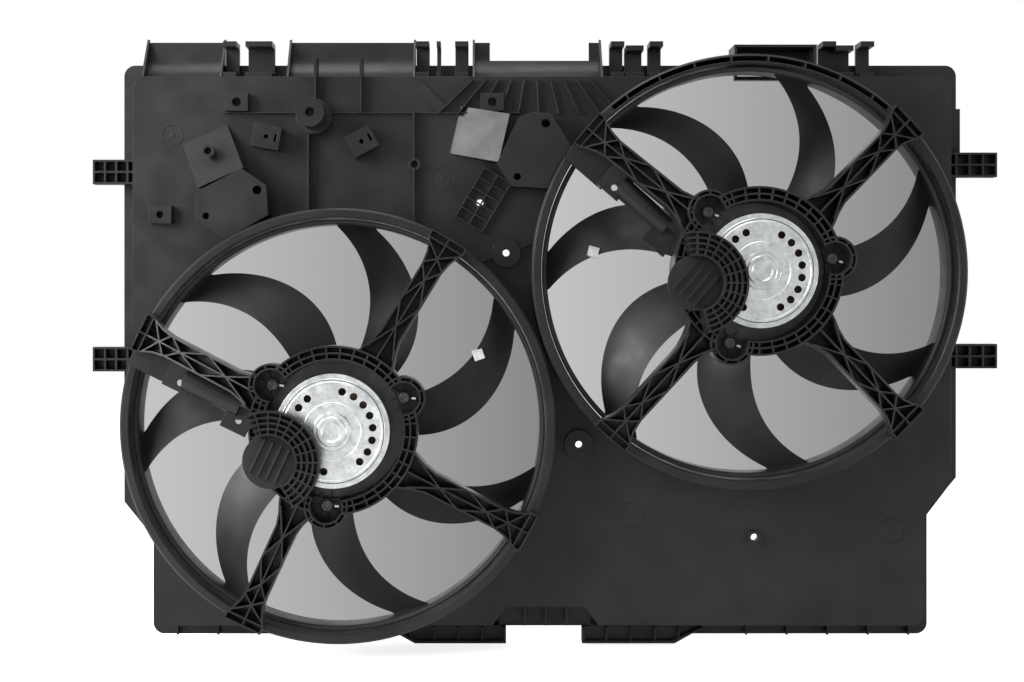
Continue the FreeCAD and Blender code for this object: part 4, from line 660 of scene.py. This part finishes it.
@dataclass
class Fan:
    """A moulded fan: a hub cup with ribs behind, swept blades and the hoop on their tips."""

    side: Side
    blades: int = 7
    hub_radius: float = 71 * MM
    hub_wall: float = 2.8 * MM
    hub_front: float = -80 * MM
    hub_back: float = -36 * MM
    hub_corner: float = 9 * MM
    corner_cut: float = 0.3
    hub_softness: float = 1.2 * MM
    boss_radius: float = 13 * MM
    boss_length: float = 13 * MM
    shaft_radius: float = 4.04 * MM
    rib_count: int = 14
    rib_depth: float = 9 * MM
    rib_thickness: float = 2 * MM
    rib_sink: float = 1 * MM
    hoop_outer: float = 192.5 * MM
    hoop_wall: float = 2.8 * MM
    hoop_front: float = -68 * MM
    hoop_back: float = -44 * MM
    hoop_lip: float = 2 * MM
    hoop_softness: float = 0.8 * MM
    chords: tuple[float, float, float] = (51 * MM, 57 * MM, 40 * MM)
    pitches: tuple[float, float] = (37, 25)
    depths: tuple[float, float] = (-59 * MM, -56 * MM)
    sweep: float = 27.5
    sweep_power: float = 1.75
    camber: float = 0.30
    thickness: float = 2.6 * MM
    fullness: float = 1.6
    tip_thinning: float = 0.35
    edge_round: float = 0.35 * MM
    edge_power: float = 0.35
    blade_grid: tuple[int, int] = (36, 56)

    def blade(self) -> Shell:
        """One blade, a section carried from hub to hoop.

        The section's chord coordinate runs cos(t) round a closed loop. Its
        camber is a parabola of a quarter of the camber value, 7.5 % of the
        chord. Its half thickness is a parabola too, closed by a round of
        0.35 mm. The root is centred on +X and the section turns by the sweep
        times share to the sweep power, where share runs from 0 at the hub to
        1 at the hoop.

        Returns:
            The blade's closed shell.
        """
        rows, columns = self.blade_grid
        tip = self.hoop_outer - self.hoop_wall
        radius = np.linspace(self.hub_radius - self.hub_wall / 2, tip + self.hoop_wall / 2, rows)[:, None]
        share = np.clip((radius - self.hub_radius) / (tip - self.hub_radius), 0, 1)
        root, middle, end = self.chords
        chord = root + (end - root) * share + 4 * share * (1 - share) * (middle - (root + end) / 2)
        lean = np.radians(self.pitches[0] + (self.pitches[1] - self.pitches[0]) * share)
        y = self.depths[0] + (self.depths[1] - self.depths[0]) * share
        t = np.linspace(0, 2 * np.pi, columns, endpoint=False)[None, :]
        along = np.cos(t) / 2
        bulge = 0.25 - along ** 2
        half = self.fullness * self.thickness * (1 - self.tip_thinning * share) * bulge
        half = half + self.edge_round * np.abs(np.sin(t)) ** self.edge_power
        offset = self.camber * chord * bulge + np.sign(np.sin(t)) * half
        run = along * chord
        tangent = run * np.cos(lean) + offset * np.sin(lean)
        depth = offset * np.cos(lean) - run * np.sin(lean)
        angle = np.radians(self.sweep) * share ** self.sweep_power + tangent / radius
        return Shell().sheet(round_axis(radius, angle, y + depth), wrap_columns=True, caps=True)

    def hub(self) -> Shell:
        """The hub cup, its outline carried round the axis, with its radial ribs.

        Returns:
            The closed shells of the cup and of each rib.
        """
        outer, inner = self.hub_radius, self.hub_radius - self.hub_wall
        back, corner = self.hub_back, self.hub_corner
        inside, cut = back - self.hub_wall, self.corner_cut * self.hub_corner
        outline = softened([
            (self.shaft_radius, back), (outer - corner, back), (outer - cut, back - cut),
            (outer, back - corner), (outer, self.hub_front), (inner, self.hub_front), (inner, back - corner),
            (outer - corner, inside), (self.boss_radius, inside), (self.boss_radius, back - self.boss_length),
            (self.shaft_radius, back - self.boss_length),
        ], self.hub_softness)
        rib = slab(
            (self.boss_radius - self.rib_sink, inner - self.rib_sink),
            (inside - self.rib_depth, inside + self.rib_sink),
            (-self.rib_thickness / 2, self.rib_thickness / 2),
        )
        ribs = rib.copies(np.arange(self.rib_count) * 360 / self.rib_count)
        return lathe(outline).add(ribs)

    def hoop(self) -> Shell:
        """The hoop with its flared front lip, its outline carried round the axis.

        Returns:
            The hoop's closed shell.
        """
        reach, wall, front, lip = self.hoop_outer, self.hoop_wall, self.hoop_front, self.hoop_lip
        outline = softened([
            (reach - wall, self.hoop_back), (reach, self.hoop_back), (reach, front + 3 * lip),
            (reach + lip, front + 2 * lip), (reach + lip, front), (reach - wall + lip, front),
            (reach - wall, front + lip),
        ], self.hoop_softness)
        return lathe(outline, Steps.HOOP)

    def build(self, wardrobe: Wardrobe) -> bpy.types.Object:
        """Joins the fan's surfaces and puts it on its rotor.

        Args:
            wardrobe: the finishes.

        Returns:
            The fan.
        """
        place = PLACES[self.side]
        blades = self.blade().copies(np.arange(self.blades) * 360 / self.blades)
        whole = self.hub().add(blades).add(self.hoop())
        thing = whole.placed(place.fan_turn, place.x, place.z).piece(f"fan_{self.side.value}_moulding")
        wardrobe.dress(thing, "fan_plastic")
        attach(thing, f"rotor_{self.side.value}")
        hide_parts(f"fan_{self.side.value}")
        return thing


# ---------------------------------------------------------------- fine detail of the moulding and motors


@dataclass
class GateMarks:
    """The thin round witness rings that injection points and ejectors leave on the panel.

    Each place is x, z and the ring's radius, in millimetres.
    """

    places: tuple[tuple[float, float, float], ...] = (
        (-356.8, 208.8, 10.6), (-95.5, 167.7, 11.6), (86.4, -157.7, 12.5), (338, -172, 12.2),
    )
    panel_y: float = PANEL_Y
    width: float = 0.9 * MM
    height: float = 0.5 * MM
    sink: float = 0.3 * MM
    nub_part: float = 5

    def mark(self, radius: float) -> Shell:
        """One ring and the nub at its centre, low enough to catch only the light.

        Args:
            radius: the ring's outer radius.

        Returns:
            The closed shells of the ring and the nub.
        """
        near, softness = radius - self.width, self.height / 2
        front, back = self.panel_y - self.height, self.panel_y + self.sink
        outline = softened([(near, back), (near, front), (radius, front), (radius, back)], softness)
        nub = disc(radius / self.nub_part, front, back, softness, Steps.NUB)
        return lathe(outline, Steps.MARK).add(nub)

    def build(self, wardrobe: Wardrobe) -> bpy.types.Object:
        """Puts every mark on the panel as one piece.

        Args:
            wardrobe: the finishes.

        Returns:
            The piece.
        """
        whole = Shell()
        for x, z, radius in self.places:
            whole.add(self.mark(radius * MM).placed(0, x * MM, z * MM))
        thing = whole.piece("panel_gate_marks")
        wardrobe.dress(thing, "shroud_plastic")
        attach(thing, "shroud")
        return thing


@dataclass
class HoleShadeWebs:
    """Thin dark plastic discs behind the holes of the raised plates and clip boxes: painted shade, so that
    the holes look dark.

    Each place is x and z, in millimetres.
    """

    places: tuple[tuple[float, float], ...] = (
        (-321, 131), (-272, 155.5), (2.6, 219), (-24, 168), (-264.5, 206.5), (-173, 202),
    )
    radius: float = 13 * MM
    front: float = -38.2 * MM
    back: float = -37 * MM
    softness: float = 0.3 * MM

    def build(self, wardrobe: Wardrobe) -> bpy.types.Object:
        """Puts a round web behind each place as one piece.

        Args:
            wardrobe: the finishes.

        Returns:
            The piece.
        """
        # painted shade: a dark disc behind each hole stands for the shade inside it
        whole = Shell()
        for x, z in self.places:
            web = disc(self.radius, self.front, self.back, self.softness, Steps.SMALL)
            whole.add(web.placed(0, x * MM, z * MM))
        thing = whole.piece("fitting_hole_shade_webs")
        wardrobe.dress(thing, "shroud_plastic")
        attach(thing, "shroud")
        return thing


@dataclass
class MotorTrim:
    """What finishes one motor: pressed rings, crimps, ribbed screw seats and the terminal shield.

    Every angle is in degrees from +X towards +Z. What is called a rise goes
    from its face towards the engine, and what is called a sink goes into it.
    """

    side: Side
    face_y: float = -130.5 * MM
    rim_y: float = -127 * MM
    softness: float = 0.3 * MM

    ring_radii: tuple[float, ...] = (8.5 * MM, 12.6 * MM, 26 * MM, 44.5 * MM)
    ring_width: float = 0.8 * MM
    ring_height: float = 0.35 * MM
    boss_rise: float = 3 * MM
    boss_radius: float = 17.7 * MM

    crimp_angles: tuple[float, ...] = (-77, -35.5, -2.5, 55.8, 84, 143, 188, 267)
    crimp_radius: float = 49.2 * MM
    crimp_half: tuple[float, float] = (1.5 * MM, 2.6 * MM)
    crimp_rise: float = 0.6 * MM
    crimp_sink: float = 1.2 * MM

    groove_radius: float = 46.8 * MM
    groove_reach: tuple[float, float] = (0.5 * MM, 0.3 * MM)
    groove_rise: float = 0.12 * MM
    groove_sink: float = 0.8 * MM
    groove_softness: float = 0.1 * MM

    ear_angles: tuple[float, ...] = (9.5, 129.5, 249.5)
    ear_radius: float = 70 * MM
    ear_floor_y: float = -106 * MM
    ear_sink: float = 0.5 * MM
    ear_ribs: int = 7
    ear_rib_turn: float = 12
    ear_rib_reach: tuple[float, float] = (6.4 * MM, 13.6 * MM)
    ear_rib_rise: float = 1.6 * MM
    ear_rib_half: float = 0.5 * MM
    ear_rib_overlap: float = 0.4 * MM
    collar_wall: float = 1.2 * MM
    collar_rise: float = 2.4 * MM

    head_y: float = -109.2 * MM
    head_radius: float = 4.6 * MM
    drive_radius: float = 2.4 * MM
    drive_rise: float = 0.9 * MM
    drive_sink: float = 0.2 * MM
    drive_softness: float = 0.5 * MM

    sliver_reach: tuple[float, float] = (6.8 * MM, 10.6 * MM)
    sliver_rise: float = 2.6 * MM
    sliver_half: float = 0.9 * MM
    sliver_turn: float = -20

    shield_x: float = -60 * MM
    shield_z: float = -11 * MM
    shield_turn: float = -40
    shield_radius: float = 25 * MM
    shield_y: tuple[float, float] = (-134.4 * MM, -133 * MM)
    web_rib: tuple[float, float, float] = (0.8 * MM, 2.2 * MM, 17 * MM)
    web_rib_places: tuple[float, ...] = (-12 * MM, -4 * MM, 4 * MM, 12 * MM)

    def at_ears(self, shell: Shell) -> Shell:
        """Repeats a shell, made round the axis, round each screw."""
        return shell.placed(0, self.ear_radius, 0).copies(np.array(self.ear_angles))

    def pressed_rings(self) -> Shell:
        """Raised steps pressed into the cover, their outlines carried round the axis.

        Returns:
            One closed shell for each ring.
        """
        whole = Shell()
        for radius in self.ring_radii:
            lift = self.boss_rise if radius < self.boss_radius else 0
            back = self.face_y - lift + self.ring_height
            front = self.face_y - lift - self.ring_height
            near, top, far = radius - self.ring_width, radius - self.ring_width / 2, radius + self.ring_width
            outline = softened([(near, back), (top, front), (radius, front), (far, back)], self.ring_height)
            whole.add(lathe(outline, Steps.COVER))
        return whole

    def crimps(self) -> Shell:
        """Dark steel blocks round the cover's rim, one at each angle: painted shade of the crimp slots.

        Returns:
            One closed shell for each lug.
        """
        along, across = self.crimp_half
        lug = slab(
            (self.crimp_radius - along, self.crimp_radius + along),
            (self.rim_y - self.crimp_rise, self.rim_y + self.crimp_sink),
            (-across, across),
        )
        return lug.copies(np.array(self.crimp_angles))

    def screw_seats(self) -> Shell:
        """A low collar and ribs like spokes round each screw.

        Returns:
            The closed shells of every collar and rib.
        """
        near, far = self.ear_rib_reach
        inner = near - self.collar_wall
        front, back = self.ear_floor_y - self.collar_rise, self.ear_floor_y + self.ear_sink
        outline = softened([(inner, back), (inner, front), (near, front), (near, back)], self.softness)
        rib = slab(
            (near - self.ear_rib_overlap, far),
            (self.ear_floor_y - self.ear_rib_rise, back),
            (-self.ear_rib_half, self.ear_rib_half),
        )
        ribs = rib.copies(np.arange(self.ear_ribs) * 360 / self.ear_ribs + self.ear_rib_turn)
        return self.at_ears(lathe(outline, Steps.SMALL).add(ribs))

    def shield(self) -> Shell:
        """The round web that closes the inside of the bridge, with ribs across it.

        Returns:
            The closed shells of the web and its ribs.
        """
        front, back = self.shield_y
        web = disc(self.shield_radius, front, back, self.softness, Steps.COVER)
        half, rise, tall = self.web_rib
        for x in self.web_rib_places:
            web.add(slab((x - half, x + half), (front - rise, back), (-tall, tall)))
        return web.placed(self.shield_turn, self.shield_x, self.shield_z)

    def groove(self) -> Shell:
        """A shallow groove between the cover's rim and its face, drawn in dark steel: its dark line is
        painted shade.

        Returns:
            The line's closed shell.
        """
        near, far = self.groove_radius - self.groove_reach[0], self.groove_radius + self.groove_reach[1]
        front, back = self.face_y - self.groove_rise, self.face_y + self.groove_sink
        outline = softened([(near, back), (near, front), (far, front), (far, back)], self.groove_softness)
        return lathe(outline, Steps.GROOVE)

    def drives(self) -> Shell:
        """The raised rim of each screw head round its drive socket.

        Returns:
            One closed shell for each head.
        """
        back, front = self.head_y + self.drive_sink, self.head_y - self.drive_rise
        near, far = self.drive_radius, self.head_radius
        outline = softened([(near, back), (near, front), (far, front), (far, back)], self.drive_softness)
        return self.at_ears(lathe(outline, Steps.SMALL))

    def slivers(self) -> Shell:
        """A bright steel bar beside each screw: painted light, standing for the white glint seen there.

        Returns:
            One closed shell for each bar.
        """
        whole = Shell()
        for angle in np.radians(self.ear_angles):
            x, z = self.ear_radius * math.cos(angle), self.ear_radius * math.sin(angle)
            bar = slab(
                self.sliver_reach,
                (self.ear_floor_y - self.sliver_rise, self.ear_floor_y),
                (-self.sliver_half, self.sliver_half),
            )
            whole.add(bar.placed(self.sliver_turn, x, z))
        return whole

    def build(self, wardrobe: Wardrobe) -> list[bpy.types.Object]:
        """Makes the pieces and puts them on the shroud.

        Args:
            wardrobe: the finishes.

        Returns:
            The pieces.
        """
        place = PLACES[self.side]
        pieces = []
        for name, shell, slot in (
            ("cover_rings", self.pressed_rings(), "galvanised_steel"),
            # painted shade: dark steel blocks stand for the shade in the crimp slots
            ("cover_crimp_shade", self.crimps(), "black_steel"),
            ("screw_seats", self.screw_seats(), "shroud_plastic"),
            ("terminal_shield", self.shield(), "shroud_plastic"),
            # painted shade: dark steel gives the shallow groove its dark line
            ("cover_groove_shade", self.groove(), "black_steel"),
            ("screw_drives", self.drives(), "screw_steel"),
            ("screw_glint_slivers", self.slivers(), "clip_steel"),
        # painted light: bright steel bars stand for the glint beside each screw
        ):
            thing = shell.placed(place.unit_turn, place.x, place.z).piece(f"{name}_{self.side.value}")
            wardrobe.dress(thing, slot)
            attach(thing, "shroud")
            pieces.append(thing)
        return pieces


# ---------------------------------------------------------------- studio


@dataclass(frozen=True)
class Lamp:
    """A soft square lamp that faces the object: its place, its side and its watts."""

    name: str
    place: tuple[float, float, float]
    size: float
    power: float

    def light(self) -> None:
        """Adds the lamp to the scene.

        It looks from its place to the frame's origin.
        """
        data = bpy.data.lights.new(self.name, "AREA")
        data.size, data.energy = self.size, self.power
        lamp = bpy.data.objects.new(self.name, data)
        lamp.location = self.place
        lamp.rotation_euler = (-lamp.location).to_track_quat("-Z", "Y").to_euler()
        bpy.context.scene.collection.objects.link(lamp)


@dataclass
class Studio:
    """The camera, the lamps, the floor and the grey cards that glow behind the fan openings with the painted
    shade of a backdrop.
    """

    width: float = 988.2 * MM
    distance: float = 1300 * MM
    sensor: float = 36
    panel_y: float = PANEL_Y
    eye_x: float = -62.7 * MM
    eye_z: float = 50.2 * MM
    shift: tuple[float, float] = (35 / IMAGE_WIDTH, -41 / IMAGE_WIDTH)
    lamps: tuple[Lamp, ...] = (
        Lamp("key", (-1.35, -0.8, 0.5), 0.9, 62),
        Lamp("fill", (1.5, -0.75, -0.35), 0.9, 36),
        Lamp("top", (-0.2, -0.5, 1.7), 1.1, 28),
    )
    room_strength: float = 0.32
    floor_z: float = -292 * MM
    floor_reach: float = 6
    floor_lift: float = 0.75
    floor_grey: float = 0.85
    floor_roughness: float = 0.8
    card_radius: float = 201.5 * MM
    card_y: float = -27 * MM
    # painted shade: the glowing card's two greys, lighter at its left and darker at its right, stand for a
    # shaded backdrop
    painted_shade_left: Colour = (0.56, 0.56, 0.565)
    painted_shade_right: Colour = (0.24, 0.24, 0.243)

    def camera(self) -> None:
        """Stands the camera level in front of the panel.

        Its lens is the one that takes in the width at the panel's face from
        the distance.
        """
        data = bpy.data.cameras.new("camera")
        data.sensor_width = self.sensor
        data.lens = data.sensor_width * self.distance / self.width
        data.shift_x, data.shift_y = self.shift
        camera = bpy.data.objects.new("camera", data)
        camera.location = (self.eye_x, self.panel_y - self.distance, self.eye_z)
        camera.rotation_euler = (math.radians(90), 0, 0)
        bpy.context.scene.collection.objects.link(camera)
        bpy.context.scene.camera = camera

    def world(self) -> None:
        """A white room to the eye and to reflections, a dimmer one to the object.

        The brighter background is chosen by the greatest of the three values
        that tell camera, glossy and transmission rays.
        """
        world = bpy.data.worlds.new("room")
        bpy.context.scene.world = world
        world.use_nodes = True
        nodes, links = world.node_tree.nodes, world.node_tree.links
        dim, bright = nodes["Background"], nodes.new("ShaderNodeBackground")
        dim.inputs["Strength"].default_value = self.room_strength
        for background in (dim, bright):
            background.inputs["Color"].default_value = (1, 1, 1, 1)
        path = nodes.new("ShaderNodeLightPath")
        direct = path.outputs["Is Camera Ray"]
        for kind in ("Is Glossy Ray", "Is Transmission Ray"):
            greater = nodes.new("ShaderNodeMath")
            greater.operation = "MAXIMUM"
            links.new(direct, greater.inputs[0])
            links.new(path.outputs[kind], greater.inputs[1])
            direct = greater.outputs[0]
        mix = nodes.new("ShaderNodeMixShader")
        for source, target in zip((direct, dim.outputs[0], bright.outputs[0]), mix.inputs):
            links.new(source, target)
        links.new(mix.outputs[0], nodes["World Output"].inputs["Surface"])

    def floor(self) -> None:
        """A pale floor that is white to the eye where no shadow falls.

        Its glow is seen by camera rays only, so it lights nothing.
        """
        reach = self.floor_reach
        shell = Shell().sheet(np.array([
            [[-reach, -reach, self.floor_z], [-reach, reach, self.floor_z]],
            [[reach, -reach, self.floor_z], [reach, reach, self.floor_z]],
        ], float))
        thing = shell.piece("floor", closed=False)
        shader = Shader("pale_floor")
        shader.surface.inputs["Base Color"].default_value = (*(self.floor_grey,) * 3, 1)
        shader.surface.inputs["Roughness"].default_value = self.floor_roughness
        shader.surface.inputs["Emission Color"].default_value = (1, 1, 1, 1)
        path = shader.add("ShaderNodeLightPath")
        lift = shader.span(path.outputs["Is Camera Ray"], 0, self.floor_lift, 0, 1)
        shader.link(lift, shader.surface.inputs["Emission Strength"])
        thing.data.materials.append(shader.material)

    def card(self, side: Side) -> None:
        """A glowing grey disc behind one fan opening, painting the shade of a backdrop seen through it,
        lighter at its left and darker at its right; it is seen from the front only and casts nothing.

        Args:
            side: the fan it stands behind.
        """
        place, radius = PLACES[side], self.card_radius
        distance = np.array([[AXIS_GAP], [radius]])
        angle = np.linspace(0, 2 * np.pi, Steps.COVER, endpoint=False)[None, :]
        shell = Shell().sheet(round_axis(distance, angle, self.card_y), wrap_columns=True)
        thing = shell.placed(0, place.x, place.z).piece(f"card_{side.value}", closed=False)
        shader = Shader(f"painted_shade_card_{side.value}")
        split = shader.add("ShaderNodeSeparateXYZ")
        shader.link(shader.coordinates, split.inputs[0])
        # painted shade: the card glows in a grey that runs from lighter at its left edge to darker at its
        # right
        shade_gradient = shader.span(split.outputs["X"], 0, 1, place.x - radius, place.x + radius)
        glow = shader.add("ShaderNodeEmission")
        shader.link(shader.tone(shade_gradient, self.painted_shade_left, self.painted_shade_right), glow.inputs["Color"])
        clear, mix = shader.add("ShaderNodeBsdfTransparent"), shader.add("ShaderNodeMixShader")
        shader.link(shader.add("ShaderNodeNewGeometry").outputs["Backfacing"], mix.inputs[0])
        shader.link(glow.outputs[0], mix.inputs[1])
        shader.link(clear.outputs[0], mix.inputs[2])
        shader.link(mix.outputs[0], shader.tree.nodes["Material Output"].inputs["Surface"])
        thing.data.materials.append(shader.material)
        thing.visible_shadow = thing.visible_diffuse = thing.visible_glossy = False

    def build(self) -> None:
        """Sets up everything that isn't the object.

        The tones are shown as they are, through the standard view.
        """
        bpy.context.scene.view_settings.view_transform = "Standard"
        self.camera()
        self.world()
        for lamp in self.lamps:
            lamp.light()
        self.floor()
        for side in Side:
            self.card(side)


def main() -> None:
    """Builds the classes in order and reports each piece.
    """
    logging.basicConfig(level=logging.INFO, format="%(name)s: %(message)s")
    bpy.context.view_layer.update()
    wardrobe = Wardrobe()
    own = set()
    for side in Side:
        fan = Fan(side).build(wardrobe)
        own.add(f"fan_{side.value}")
        log.info("%s has %d faces", fan.name, len(fan.data.polygons))
        for trim in MotorTrim(side).build(wardrobe):
            log.info("%s has %d faces", trim.name, len(trim.data.polygons))
    for detail in (GateMarks(), HoleShadeWebs()):
        thing = detail.build(wardrobe)
        log.info("%s has %d faces", thing.name, len(thing.data.polygons))
    for body, members in frame["record"]["behaviour"]["bodies"].items():
        for node in members:
            if node not in own:
                shown = KeptNode(node, body).show(wardrobe)
                log.info("%s has %d faces", shown.name, len(shown.data.polygons))
    Studio().build()


if __name__ == "__main__":
    main()
